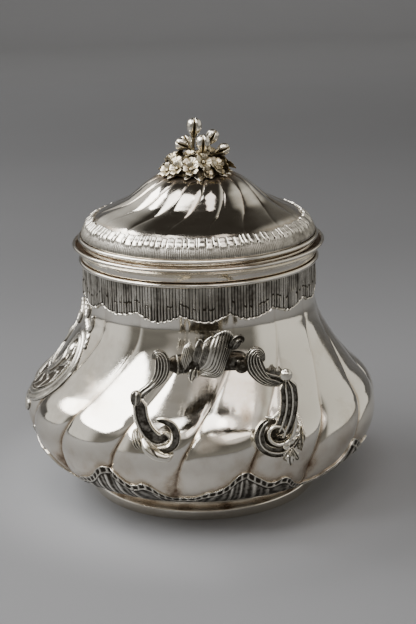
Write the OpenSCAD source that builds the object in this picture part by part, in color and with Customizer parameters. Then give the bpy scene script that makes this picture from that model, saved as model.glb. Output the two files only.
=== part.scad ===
// Covered silver sugar bowl: a swirl-fluted, pear-shaped bowl on a foot ring, with two cast
// scroll handles, and a loose domed lid that carries a cast bouquet of flowers and buds.
// The origin is on the surface it stands on, under the middle of the bowl. +Z is up, the two
// handles are on +X and -X, and the chased cartouche faces -Y.

/* [Bowl] */
// Radius of the belly, over the crowns of its lobes
belly_r = 78.9; // [76:0.1:82]
// Height of the widest place of the belly
belly_z = 39; // [37:0.5:41]
// Outer radius of the straight neck
neck_r = 51; // [50.6:0.1:51.2]
// Thickness of the raised silver sheet
sheet = 0.7; // [0.6:0.1:1]
// Number of swirled lobes on the bowl and on the lid
lobes = 16; // [12:1:20]
// How deep the valleys between the lobes are at the belly
lobe_depth = 3; // [1:0.1:4]
// Angle that a valley turns through between the belly and the neck
swirl = 21; // [0:1:30]

/* [Foot and borders] */
// Outer radius of the foot ring
foot_r = 51; // [49:0.5:53]
// Height of the plain band at the bottom of the foot ring
foot_band_h = 4.2; // [3:0.1:5]
// Height of the whole foot ring
foot_h = 11.6; // [11.6:0.1:12]
// Number of shell panels in the lower border
panels = 8; // [4:1:10]
// Thickness of the chased bands that lie on the sheet
band_t = 0.6; // [0.5:0.1:0.9]
// Height of the lower edge of the ribbed neck band
neck_band_z = 87.5; // [87.5:0.5:92]

/* [Rim] */
// Radius of the sharp lip
lip_r = 55.4; // [54:0.1:57]
// Height of the lip
lip_z = 112.3; // [111:0.1:114]
// Height of the ledge that the lid rests on
ledge_z = 111; // [110.9:0.1:111]

/* [Lid] */
// Outer radius of the wire round the edge of the lid
lid_wire_r = 52.8; // [52:0.1:53.5]
// Height of the middle of that wire
lid_wire_z = 114.4; // [114.3:0.1:114.6]
// Gap between the lid and the ledge and between its bezel and the neck
lid_gap = 0.3; // [0.2:0.1:0.4]
// Depth of the bezel below the ledge
bezel_depth = 5.5; // [4:0.5:8]
// How deep the valleys of the dome are
dome_lobe_depth = 1.3; // [0.5:0.1:1.6]
// Angle that a valley of the dome turns through from the border to the crown
dome_swirl = 30; // [0:1:40]

/* [Handles] */
// Distance of the handle's crosspiece from the bowl's axis
handle_reach = 84.5; // [83:0.5:88]
// Height of the middle of the scrolls at the foot of a handle
scroll_z = 51; // [50:0.5:52]

/* [Finial] */
// Height of the top of the highest bud
total_h = 165; // [162:0.5:168]
// Radius of the mound that carries the flowers
mound_r = 14; // [13:0.5:15]
// Radius of the threaded stud
stud_r = 2; // [1.5:0.1:2.2]

/* [Hidden] */

polished = "#c9c6c1";
chased = "#aeaaa2";
cast = "#bdb8ae";
gilt_tinge = "#c2b999";

around = 160;              // facets of the exact round pieces
steps_per_lobe = 5;        // straight pieces across one lobe
seam = 0.08;               // gap where a smooth ring lies on a faceted sheet
full_turn = 360;
neck_top = 103.5;          // top of the raised sheet, under the rim moulding
moulding_r = neck_r + 0.1; // outside of the rim moulding at its foot
floor_z = foot_h;          // underside of the bowl's flat bottom
tube_sides = 8;

// Bowl sheet: outer face over the crowns, as [radius, height]
bowl_outline = [
    [foot_r - 1, floor_z], [belly_r - 17, floor_z + 2], [belly_r - 7.4, belly_z - 19],
    [belly_r - 1.7, belly_z - 9.5], [belly_r, belly_z], [belly_r - 2.6, 47],
    [68.3, 55.2], [60.4, 65.5], [54.6, 75], [neck_r + 1.1, 82], [neck_r, 88], [neck_r, neck_top]
];
// Lid sheet: outer face, as [radius, height], from the rim up to the hole in the crown
lid_rim_z = ledge_z + lid_gap + band_t;
crown_z = 142.4;
crown_flat_r = 7;
dome_edge_r = 42.6;
lid_outline = [
    [50.7, lid_rim_z], [50.6, 115.2], [49, 118.4], [45.8, 122.4], [dome_edge_r, 124.6],
    [37, 127.2], [31.7, 129.8], [28.6, 132], [25.7, 134.4], [23.2, 136.6], [20, 138.8],
    [16, 140.6], [11, 141.9], [crown_flat_r, crown_z], [stud_r + lid_gap, crown_z]
];

// ---- small helpers ----

function unit(v) = v / norm(v);
function smooth(low, high, value) =
    let (t = min(max((value - low) / (high - low), 0), 1)) t * t * (3 - 2 * t);
function bump(value, middle, width) = exp(-pow((value - middle) / width, 2));

function curve_point(p0, p1, p2, p3, t) =
    0.5 * (2 * p1 + (p2 - p0) * t + (2 * p0 - 5 * p1 + 4 * p2 - p3) * t * t
        + (3 * p1 - p0 - 3 * p2 + p3) * t * t * t);
// A smooth curve through the points, with the given number of steps between two of them
function curve(points, steps) =
    let (last = len(points) - 1)
    [
        for (i = [0:last - 1])
            for (j = [0:steps - 1])
                curve_point(points[max(i - 1, 0)], points[i], points[i + 1],
                    points[min(i + 2, last)], j / steps),
        points[last]
    ];

// The normal of an outline of [radius, height] points at point i, to the left of its run
function outline_normal(points, i) =
    let (last = len(points) - 1, d = unit(points[min(i + 1, last)] - points[max(i - 1, 0)]))
    [-d[1], d[0]];
function inset(points, distance) =
    [for (i = [0:len(points) - 1]) points[i] + outline_normal(points, i) * distance];

// A closed solid over rings that all have the same number of points
module skin(rings, wrap = false) {
    n = len(rings[0]);
    m = len(rings);
    sides = [
        for (i = [0:m - (wrap ? 1 : 2)])
            for (k = [0:n - 1])
                let (
                    a = i * n + k,
                    b = i * n + (k + 1) % n,
                    c = ((i + 1) % m) * n + (k + 1) % n,
                    d = ((i + 1) % m) * n + k
                )
                each [[a, d, c], [a, c, b]]
    ];
    caps = wrap ? [] : [[for (k = [0:n - 1]) k], [for (k = [n - 1:-1:0]) (m - 1) * n + k]];
    polyhedron(points = [for (ring = rings) each ring], faces = concat(sides, caps));
}

// One ring of a round bar: point is [x, y, z, radius], ahead is its direction
function bar_ring(point, ahead) =
    let (
        side = unit(cross(ahead, [1, 0, 0.05])),
        up = cross(side, ahead),
        centre = [point[0], point[1], point[2]]
    )
    [
        for (k = [0:tube_sides - 1])
            let (a = full_turn * k / tube_sides)
            centre + point[3] * (side * cos(a) + up * sin(a))
    ];
function place(point) = [point[0], point[1], point[2]];
function bar_rings(points, wrap = false) =
    let (n = len(points))
    [
        for (i = [0:n - 1])
            let (
                before = wrap ? points[(i + n - 1) % n] : points[max(i - 1, 0)],
                after = wrap ? points[(i + 1) % n] : points[min(i + 1, n - 1)]
            )
            bar_ring(points[i], unit(place(after) - place(before)))
    ];
// A round bar along a smooth curve through [x, y, z, radius] points
module bar(points, steps = 3) {
    skin(bar_rings(curve(points, steps)));
}

// ---- the bowl's own surface ----

// How far the swirl has turned at a height
function bowl_twist(z) = swirl * smooth(36, 84, z);
function bowl_valley(z) =
    lobe_depth * smooth(floor_z + 1, belly_z - 9, z) * (1 - 0.92 * smooth(45, 87, z));
// 1 in a valley, 0 on the crown of a lobe; part is the place across one lobe, 0 to 1
function valley_shape(part) = pow(abs(1 - 2 * part), 2.2);

// A ring of the bowl's surface at one [radius, height], moved outward by a distance
function bowl_ring(rz, outward = 0) =
    let (n = lobes * steps_per_lobe)
    [
        for (k = [0:n - 1])
            let (
                angle = full_turn * k / n + bowl_twist(rz[1]) - swirl + half_lobe,
                part = (k % steps_per_lobe) / steps_per_lobe,
                r = rz[0] - bowl_valley(rz[1]) * valley_shape(part) + outward
            )
            [r * cos(angle), r * sin(angle), rz[1]]
    ];
half_lobe = full_turn / lobes / 2;

// Radius of the bowl's crowns at a height, for pieces that are fixed on it
bowl_curve = curve(bowl_outline, 4);
function bowl_r(z) = lookup(z, [for (p = bowl_curve) [p[1], p[0]]]);

// ---- bowl ----

module foot_ring() {
    wall = 1.4;
    cove_r = foot_r - 2.7;
    color(polished)
    rotate_extrude($fn = around)
    polygon(concat(
        [[foot_r - wall, 0], [foot_r, 0], [foot_r, foot_band_h], [foot_r - 0.8, foot_band_h + 0.6]],
        [for (a = [60:-20:-60])
            [cove_r + 3 * (1 - cos(a)) * 0.9, foot_band_h + 4 - 3 * a / 60 * 0.9]],
        [[foot_r - 0.9, foot_h], [foot_r - 4, foot_h], [cove_r - wall, foot_h - 4],
            [foot_r - wall, foot_band_h - 0.4]]
    ));
}

module bowl_body() {
    outer = curve(bowl_outline, 2);
    inner_outline = concat(
        [[foot_r - 3, floor_z + sheet]],
        [for (i = [1:len(bowl_outline) - 2])
            bowl_outline[i] + outline_normal(bowl_outline, i) * sheet],
        [[neck_r - sheet, neck_top]]
    );
    inner = [for (i = [len(inner_outline) - 1:-1:0]) inner_outline[i]];
    color(polished)
    skin(concat(
        [for (rz = outer) bowl_ring(rz)],
        [for (rz = inner) bowl_ring(rz)]
    ));
}

// Upper edge of the lower border at an angle: one tall and one low wave in each panel
function border_top(angle) =
    let (
        pitch = full_turn / panels,
        turned = angle + swirl - half_lobe + pitch / 2,
        a = turned - pitch * floor(turned / pitch),
        near = a > 0.7 * pitch ? a - pitch : a
    )
    20 + 11.5 * bump(near, 0, 5.5) + 6 * bump(near, 12.5, 5) + 3 * bump(near, -9, 4);

module lower_border() {
    n = lobes * steps_per_lobe;
    low_z = 14.5;
    levels = 6;
    lift = 0.35;           // clears the facets of the sheet behind it
    // a point on the bowl's surface at step k round it and at a height
    function on_bowl(k, z, outward) =
        bowl_ring([bowl_r(z), z], outward)[k];
    function height(k, level) =
        low_z + (border_top(full_turn * k / n - swirl + half_lobe) - low_z) * level / levels;
    outer = [for (level = [0:levels]) [for (k = [0:n - 1]) on_bowl(k, height(k, level), band_t + lift)]];
    inner = [for (level = [levels:-1:0]) [for (k = [0:n - 1]) on_bowl(k, height(k, level), lift)]];
    color(chased)
    skin(concat(outer, inner), wrap = true);
}

module neck_band() {
    color(chased)
    rotate_extrude($fn = around)
    translate([neck_r + seam, neck_band_z])
    square([band_t, neck_top - 0.2 - neck_band_z]);
}

module rim_bead() {
    bead_r = 0.9;
    color(polished)
    rotate_extrude($fn = around)
    translate([moulding_r + bead_r, neck_top + bead_r])
    circle(r = bead_r, $fn = 24);
}

module rim_moulding() {
    inside = neck_r - sheet;
    color(polished)
    rotate_extrude($fn = around)
    polygon([
        [inside, neck_top], [moulding_r, neck_top], [moulding_r, neck_top + 1.9],
        [moulding_r + 0.6, neck_top + 2.6], [moulding_r + 1.2, neck_top + 4.3],
        [moulding_r + 2.8, neck_top + 6.5], [lip_r - 0.3, lip_z - 1], [lip_r, lip_z - 0.5],
        [lip_r - 0.5, lip_z], [lip_r - 1.4, lip_z], [lip_r - 2, ledge_z], [inside, ledge_z]
    ]);
}

// An oval frame that lies on the bowl, with two sprays that climb to the neck band
module cartouche() {
    facing = -90;
    frame_bar = 1.9;
    half_width = 24;
    middle_z = 60;
    half_height = 15.5;
    sunk = 0.9;            // depth of the middle of the frame's bar below the sheet's face
    function on_belly(angle, z, r, depth = 0) =
        let (R = bowl_r(z) - depth) [R * cos(angle), R * sin(angle), z, r];
    frame_points = [
        for (a = [0:12:348])
            on_belly(facing + half_width * cos(a), middle_z + half_height * sin(a), frame_bar, sunk)
    ];
    color(chased) {
        skin(bar_rings(frame_points, wrap = true), wrap = true);
        for (side = [1, -1])
            bar([
                on_belly(facing + side * 20.5, 77.6, 1.2), on_belly(facing + side * 17, 80.2, 1.3),
                on_belly(facing + side * 13.5, 82.8, 1.2), on_belly(facing + side * 11, 85.2, 0.9)
            ]);
    }
}

// ---- handles: built on the +X side, [distance from the axis, along Y, height, bar radius] ----

slim_y = -22;
stout_y = 22;

// The slender arm ends in a hooked curl below and runs into the bridge above
module slim_arm() {
    color(cast)
    bar([
        [77, slim_y - 0.8, scroll_z + 3.6, 1.3], [76.6, slim_y + 2.2, scroll_z + 2, 1.7],
        [76.6, slim_y - 0.6, scroll_z - 0.7, 2], [77.2, slim_y - 5.5, scroll_z + 1.6, 2.3],
        [79.5, slim_y - 9, scroll_z + 7, 2.4], [82.5, slim_y - 11, scroll_z + 14, 2.4],
        [handle_reach, slim_y - 9.8, scroll_z + 20.3, 2.9], [handle_reach, slim_y - 5, scroll_z + 24.6, 1.8],
        [handle_reach, slim_y - 1, scroll_z + 28, 2.1], [handle_reach, slim_y + 1, scroll_z + 30, 2]
    ]);
}

// The thick arm rolls up in a full volute below and carries a ball at its knuckle
module stout_arm() {
    color(cast)
    bar([
        [77.4, stout_y - 0.2, scroll_z - 0.6, 1.3], [77.4, stout_y + 1.8, scroll_z + 1.2, 1.5],
        [77.2, stout_y - 1.4, scroll_z + 3.6, 1.7], [77, stout_y - 4.3, scroll_z + 0.6, 1.9],
        [77, stout_y - 1.6, scroll_z - 3.8, 2.1], [77.6, stout_y + 4.4, scroll_z - 2, 2.4],
        [79.5, stout_y + 8.6, scroll_z + 4.6, 2.6], [82.5, stout_y + 9.2, scroll_z + 12, 2.7],
        [handle_reach, stout_y + 7.4, scroll_z + 20, 2.8], [handle_reach, stout_y + 4, scroll_z + 24.6, 3],
        [handle_reach, stout_y - 2, scroll_z + 25, 2.6], [handle_reach, stout_y - 7, scroll_z + 28, 2.5]
    ]);
}

// The crosspiece, with a leaf scroll that stands up at each end
module bridge() {
    grip_z = scroll_z + 31.5;
    color(cast)
    bar([
        [handle_reach, slim_y - 3, scroll_z + 36, 1.2], [handle_reach, slim_y - 0.4, scroll_z + 37.2, 2],
        [handle_reach, slim_y + 2, scroll_z + 33.5, 2.6], [handle_reach, slim_y + 6, grip_z - 0.6, 2.6],
        [handle_reach, -10, grip_z + 1, 3], [handle_reach, 0, grip_z, 3.2],
        [handle_reach, stout_y - 14, grip_z - 0.6, 3], [handle_reach, stout_y - 10, grip_z + 1.4, 2.8],
        [handle_reach, stout_y - 8.4, scroll_z + 36.2, 2.2], [handle_reach, stout_y - 5.6, scroll_z + 36, 1.8],
        [handle_reach, stout_y - 4.2, scroll_z + 33.6, 1.2]
    ]);
}

// A broad leaf that wraps over the middle of the crosspiece and curls forward at its tip
module crest_leaf() {
    leaf_t = 1.6;
    // [x, y, z, half width] along the leaf's rib
    rib = curve([
        [handle_reach + 2, -5, scroll_z + 25.6, 2.5], [handle_reach + 4.6, -2.5, scroll_z + 29, 6.5],
        [handle_reach + 5, 0.5, scroll_z + 34, 8.6], [handle_reach + 4.2, 3.5, scroll_z + 39, 8],
        [handle_reach + 4.8, 6.5, scroll_z + 42.3, 5], [handle_reach + 6.4, 9, scroll_z + 41, 1.5]
    ], 2);
    across = [-1, -0.5, 0, 0.5, 1];
    function leaf_ring(i) =
        let (
            ahead = unit(place(rib[min(i + 1, len(rib) - 1)]) - place(rib[max(i - 1, 0)])),
            side = unit(cross(ahead, [1, 0, 0])),
            out = cross(side, ahead),
            w = rib[i][3]
        )
        concat(
            [for (s = across) place(rib[i]) + side * s * w - out * (1.2 * s * s)],
            [for (j = [len(across) - 1:-1:0])
                let (s = across[j]) place(rib[i]) + side * s * w - out * (1.2 * s * s + leaf_t)]
        );
    color(cast)
    skin([for (i = [0:len(rib) - 1]) leaf_ring(i)]);
}

// A C-scroll that runs down into a pointed leaf, and a second leaf outside it, fixed on the bowl
module handle_foot(middle_y, side, drop) {
    function on_bowl(y, z, out, r) =
        let (R = bowl_r(z) + out) [sqrt(R * R - y * y), y, z, r];
    color(cast) {
        bar([
            [75.4, middle_y + side * 4.5, scroll_z + 9.5, 1.2], [75.4, middle_y - side * 2, scroll_z + 8.6, 1.5],
            [74.8, middle_y - side * 6.4, scroll_z + 2, 1.8], [74.6, middle_y - side * 5, scroll_z - 4, 2.1],
            [74.6, middle_y + side * 0.6, scroll_z - 7, 2.3],
            on_bowl(middle_y + side * 4.6, scroll_z - 8.5, 0.4, 2.3),
            on_bowl(middle_y + side * 5.6, scroll_z - drop, 0, 1.2)
        ]);
        bar([
            on_bowl(middle_y + side * 12, scroll_z + 4.5, 0.8, 1.3),
            on_bowl(middle_y + side * 12.4, scroll_z, 0.8, 2),
            on_bowl(middle_y + side * 11, scroll_z - 4.4, 0.8, 1.5)
        ]);
    }
}

module slim_foot() {
    handle_foot(slim_y, -1, 12.5);
}

module stout_foot() {
    handle_foot(stout_y, 1, 15.5);
}

// The handle on -X is the one on +X turned half round
module left_side() {
    rotate([0, 0, 180])
    children();
}

// ---- lid ----

function dome_twist(r) = dome_swirl * smooth(dome_edge_r, mound_r, r);
function dome_valley(r) =
    dome_lobe_depth * smooth(dome_edge_r, dome_edge_r - 8, r) * smooth(mound_r - 2, mound_r + 9, r);

function lid_ring(rz) =
    let (n = lobes * steps_per_lobe)
    [
        for (k = [0:n - 1])
            let (
                angle = full_turn * k / n + dome_twist(rz[0]),
                part = (k % steps_per_lobe) / steps_per_lobe
            )
            [rz[0] * cos(angle), rz[0] * sin(angle), rz[1] - dome_valley(rz[0]) * valley_shape(part)]
    ];

module lid_dome() {
    last = len(lid_outline) - 1;
    under = concat(
        [[lid_outline[0][0] - sheet, lid_rim_z]],
        [for (i = [1:last - 2]) lid_outline[i] + outline_normal(lid_outline, i) * sheet],
        [[crown_flat_r, crown_z - sheet], [stud_r + lid_gap, crown_z - sheet]]
    );
    color(polished)
    skin(concat(
        [for (rz = lid_outline) lid_ring(rz)],
        [for (i = [last:-1:0]) lid_ring(under[i])]
    ), wrap = true);
}

module lid_border() {
    edge = [for (i = [1:4]) lid_outline[i]];
    outer = inset(edge, -band_t - seam);
    inner = inset(edge, -seam);
    color(chased)
    rotate_extrude($fn = around)
    polygon(concat([[50.7 + seam, 115.35]], [for (i = [1:3]) inner[i]],
        [for (i = [3:-1:1]) outer[i]], [[51.6, 115.6]]));
}

module lid_wire() {
    wire_r = 0.95;
    color(polished)
    rotate_extrude($fn = around)
    translate([lid_wire_r - wire_r, lid_wire_z - 0.1])
    circle(r = wire_r - seam / 2, $fn = 24);
}

module lid_bezel() {
    outside = neck_r - sheet - 2 * lid_gap;
    flange_r = lid_outline[0][0] + 0.6;
    low_z = ledge_z - bezel_depth;
    color(polished)
    rotate_extrude($fn = around)
    polygon([
        [outside - sheet, low_z], [outside, low_z], [outside, ledge_z + lid_gap],
        [flange_r, ledge_z + lid_gap], [flange_r, lid_rim_z], [outside - sheet, lid_rim_z]
    ]);
}

// ---- finial ----

mound_top = 151.5;
mound_outline = [
    [mound_r, 141.9], [mound_r + 0.4, 143], [11.4, 146.2], [7.8, 149], [4.6, 150.8]
];
stud_top = 147;

module finial_mound() {
    color(gilt_tinge)
    difference() {
        rotate_extrude($fn = 96)
        polygon(concat([[0, crown_z + 0.05], [crown_flat_r, crown_z + 0.05]], mound_outline,
            [[0, mound_top]]));
        translate([0, 0, crown_z - 1])
        cylinder(r = stud_r + 0.05, h = stud_top + 0.1 - crown_z + 1, $fn = 48);
    }
}

// One open flower: a shallow flared cup on a short stalk
module flower(radius) {
    rotate_extrude($fn = 24)
    polygon([
        [0, -1.2], [0.7, -1.2], [0.9, 0], [radius, 1.2], [radius - 0.2, 1.7], [0.9, 0.7], [0, 0.9]
    ]);
}

module finial_flowers() {
    // [how many, ring radius, height, tilt, flower radius]
    rows = [[12, 13.3, 144.4, 52, 2.7], [9, 9.6, 148.3, 40, 2.5]];
    color(gilt_tinge)
    for (row = rows)
        for (i = [0:row[0] - 1])
            rotate([0, 0, full_turn * (i + 0.37 * row[0] / 5) / row[0]])
            translate([row[1], 0, row[2]])
            rotate([0, row[3], 0])
            flower(row[4]);
}

// Each bud: [where it sits on its stem], lean, direction it leans to, stem, length, radius
buds = [
    [[0, -1, total_h - 8.6], 0, 0, 6, 8.6, 3.1],
    [[1, -3.7, 151.5], 55, 270, 2, 8, 2.6],
    [[4.6, 2.2, 150.2], 15, 0, 1.5, 8.2, 2.8],
    [[-1, 5, 152.3], 30, 90, 3, 8.4, 2.5],
    [[1, 8.2, 148.6], 68, 90, 2, 7.6, 2.4],
    [[-4.6, -2.4, 150], 42, 205, 2, 7.8, 2.4],
    [[-4.6, 2.6, 150], 42, 150, 2, 7.8, 2.4]
];

module on_bud_axis(bud) {
    translate(bud[0])
    rotate([0, 0, bud[2]])
    rotate([0, bud[1], 0])
    children();
}

module finial_stems() {
    stem_r = 0.75;
    color(gilt_tinge)
    for (bud = buds)
        on_bud_axis(bud)
        translate([0, 0, -bud[3]])
        cylinder(r = stem_r, h = bud[3] + 0.8, $fn = 24);
}

module finial_buds() {
    color(gilt_tinge)
    for (bud = buds)
        on_bud_axis(bud)
        rotate_extrude($fn = 36)
        polygon([
            for (t = [0:0.125:1])
                [t == 0 || t == 1 ? 0 : bud[5] * pow(sin(180 * pow(t, 0.8)), 0.7), t * bud[4]]
        ]);
}

module finial_stud() {
    color(polished)
    translate([0, 0, crown_z - 8])
    cylinder(r = stud_r, h = stud_top - crown_z + 8, $fn = 48);
}

module finial_washer() {
    washer_t = 0.8;
    color(polished)
    translate([0, 0, crown_z - sheet - seam - washer_t])
    difference() {
        cylinder(r = 5.5, h = washer_t, $fn = 64);
        translate([0, 0, -1])
        cylinder(r = stud_r + 0.1, h = washer_t + 2, $fn = 48);
    }
}

module finial_nut() {
    nut_h = 3.2;
    across_corners = 8;
    color(polished)
    translate([0, 0, crown_z - sheet - 2 * seam - 0.8 - nut_h])
    difference() {
        cylinder(r = across_corners / 2, h = nut_h, $fn = 6);
        translate([0, 0, -1])
        cylinder(r = stud_r + 0.05, h = nut_h + 2, $fn = 48);
    }
}

foot_ring();
bowl_body();
lower_border();
neck_band();
rim_bead();
rim_moulding();
cartouche();
slim_arm();  // handle_right_slim_arm
stout_arm();  // handle_right_stout_arm
bridge();  // handle_right_bridge
crest_leaf();  // handle_right_crest_leaf
slim_foot();  // handle_right_slim_foot
stout_foot();  // handle_right_stout_foot
left_side() slim_arm();  // handle_left_slim_arm
left_side() stout_arm();  // handle_left_stout_arm
left_side() bridge();  // handle_left_bridge
left_side() crest_leaf();  // handle_left_crest_leaf
left_side() slim_foot();  // handle_left_slim_foot
left_side() stout_foot();  // handle_left_stout_foot
lid_dome();
lid_border();
lid_wire();
lid_bezel();
finial_mound();
finial_flowers();
finial_stems();
finial_buds();
finial_stud();
finial_washer();
finial_nut();
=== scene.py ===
"""Looks of a covered silver sugar bowl with swirled lobes, two scroll handles and a flower finial.

The object's sizes are millimetres in the model's own frame: origin under the middle of the bowl on the
surface it stands on, +Z up, handles on +X and -X, a cartouche facing -Y. Form.make scales each mesh to
metres. The stage, the lights and the camera are in metres.
"""

import math

import bpy
import numpy as np
from mathutils import Matrix, Vector


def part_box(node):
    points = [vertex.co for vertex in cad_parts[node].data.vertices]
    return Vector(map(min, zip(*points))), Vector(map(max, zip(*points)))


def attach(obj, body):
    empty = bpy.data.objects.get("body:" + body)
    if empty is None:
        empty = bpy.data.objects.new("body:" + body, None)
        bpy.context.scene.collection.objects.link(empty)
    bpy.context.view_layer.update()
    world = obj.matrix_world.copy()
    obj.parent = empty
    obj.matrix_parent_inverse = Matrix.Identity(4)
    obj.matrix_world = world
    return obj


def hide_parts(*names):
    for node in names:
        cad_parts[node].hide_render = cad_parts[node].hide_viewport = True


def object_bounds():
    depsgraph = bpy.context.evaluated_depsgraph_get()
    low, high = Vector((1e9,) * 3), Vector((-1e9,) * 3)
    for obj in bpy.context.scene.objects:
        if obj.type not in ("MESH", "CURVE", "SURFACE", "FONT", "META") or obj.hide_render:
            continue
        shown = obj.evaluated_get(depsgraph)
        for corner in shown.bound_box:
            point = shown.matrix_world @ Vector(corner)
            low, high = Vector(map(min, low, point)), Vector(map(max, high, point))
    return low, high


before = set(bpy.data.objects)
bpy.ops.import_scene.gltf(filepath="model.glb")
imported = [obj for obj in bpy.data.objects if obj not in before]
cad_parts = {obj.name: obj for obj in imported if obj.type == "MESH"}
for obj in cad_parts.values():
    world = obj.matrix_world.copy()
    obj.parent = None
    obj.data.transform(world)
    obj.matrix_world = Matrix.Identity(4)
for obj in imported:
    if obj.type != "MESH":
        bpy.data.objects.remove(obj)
cad_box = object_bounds()

MM = 0.001
TURN = 2 * math.pi


def cad(node):
    """Lowest and highest corner of a CAD node, in millimetres."""
    low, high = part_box(node)
    return np.array(low) / MM, np.array(high) / MM


# ---- driving sizes, read from the frame ----

FOOT_R, FOOT_H = cad("foot_ring")[1][0], cad("foot_ring")[1][2]
BOWL_LOW, BOWL_HIGH = cad("bowl_body")
BELLY_R = BOWL_HIGH[1]
BELLY_Z = 39.0
FLOOR_Z, NECK_TOP = BOWL_LOW[2], BOWL_HIGH[2]
NECK_R = 51.0
LIP_R, LIP_Z = cad("rim_moulding")[1][0], cad("rim_moulding")[1][2]
WIRE_R = cad("lid_wire")[1][0]
WIRE_LOW, WIRE_HIGH = cad("lid_wire")[0][2], cad("lid_wire")[1][2]
RIM_Z = cad("lid_dome")[0][2]
CROWN_Z = cad("lid_dome")[1][2]
TOP_Z = cad_box[1][2] / MM
SCROLL_X, SCROLL_Z = 75.2, 51.0
JOINT_X, JOINT_YS = 72, (-19, 19, -24, 24)
LEDGE_Z = 111.0
SHEET = 0.7
LID_R = 50.7

LOBES = 16
LOBE = TURN / LOBES
PANELS = 8
SWIRL = math.radians(21)
LOW_TURN = math.radians(3.5)
LOBE_DEPTH = 2.9
DOME_SWIRL = math.radians(30)
DOME_DEPTH = 1.3
DOME_EDGE_R = 42.6
MOUND_R = 14.0


# ---- small mathematics ----


def smooth(low, high, value):
    """0 up to low, 1 from high on, and a soft step between; it falls if low is the larger."""
    t = np.clip((np.asarray(value, float) - low) / (high - low), 0, 1)
    return t * t * (3 - 2 * t)


def bump(value, middle, width, power=2):
    """A hump that is 1 at its middle; a higher power makes its top flatter and its sides steeper."""
    return np.exp(-(((np.asarray(value, float) - middle) / width) ** power))


def ring_angles(count):
    """Angles of count equal steps round the axis."""
    return np.linspace(0, TURN, count, endpoint=False)


def polar(angle, r, z):
    """Points at angles round the axis, radii and heights, which are broadcast together."""
    return np.stack(np.broadcast_arrays(r * np.cos(angle), r * np.sin(angle), z), axis=-1)


def unit(v):
    v = np.asarray(v, float)
    return v / np.maximum(np.linalg.norm(v, axis=-1, keepdims=True), 1e-12)


def spline(ends, i, t):
    """Catmull-Rom curve between points i + 1 and i + 2 of a list that has one extra point at each end."""
    a, b, c, d = ends[i], ends[i + 1], ends[i + 2], ends[i + 3]
    return 0.5 * (2 * b + (c - a) * t + (2 * a - 5 * b + 4 * c - d) * t**2 + (3 * b - a - 3 * c + d) * t**3)


def with_ends(points):
    """The points with one more at each end, straight ahead."""
    p = np.asarray(points, float)
    return np.vstack([2 * p[0] - p[1], p, 2 * p[-1] - p[-2]])


def lengths(line):
    """Distance along a line to each of its points."""
    steps = np.linalg.norm(np.diff(line, axis=0), axis=1)
    return np.concatenate([[0], np.cumsum(steps)])


def curve(points, count):
    """A smooth curve through the points, resampled to count points at equal distances."""
    ends = with_ends(points)
    per_span = 24
    t = np.linspace(0, 1, per_span, endpoint=False)[:, None]
    line = np.vstack([spline(ends, i, t) for i in range(len(points) - 1)] + [ends[-2:-1]])
    along = lengths(line[:, :3])
    want = np.linspace(0, along[-1], count)
    return np.stack([np.interp(want, along, values) for values in line.T], axis=1)


def spline_at(points, places):
    """A smooth curve through the points, taken at places counted in points, such as 1.5."""
    i = np.clip(places.astype(int), 0, len(points) - 2)
    return spline(with_ends(points), i, (places - i)[:, None])


def inward(line):
    """Unit directions square to an outline of [radius, height] points, towards its inner side."""
    ahead = unit(np.gradient(line, axis=0))
    return np.stack([-ahead[:, 1], ahead[:, 0]], axis=1)


def wander(angle, height, size, waves=9, seed=3):
    """Soft irregular waviness of hand-worked metal, of about the given size in millimetres."""
    draw = np.random.default_rng(seed)
    total = 0
    for _ in range(waves):
        round_waves = draw.integers(2, 26)
        up_waves = draw.uniform(-0.28, 0.28)
        total = total + np.sin(round_waves * angle + up_waves * height + draw.uniform(0, TURN))
    return size * total / math.sqrt(waves)


def noise_around(count, seed, spread=1.0):
    """One random number per step round the bowl, between -spread and spread."""
    return np.random.default_rng(seed).uniform(-spread, spread, count)


# ---- making meshes ----


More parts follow.
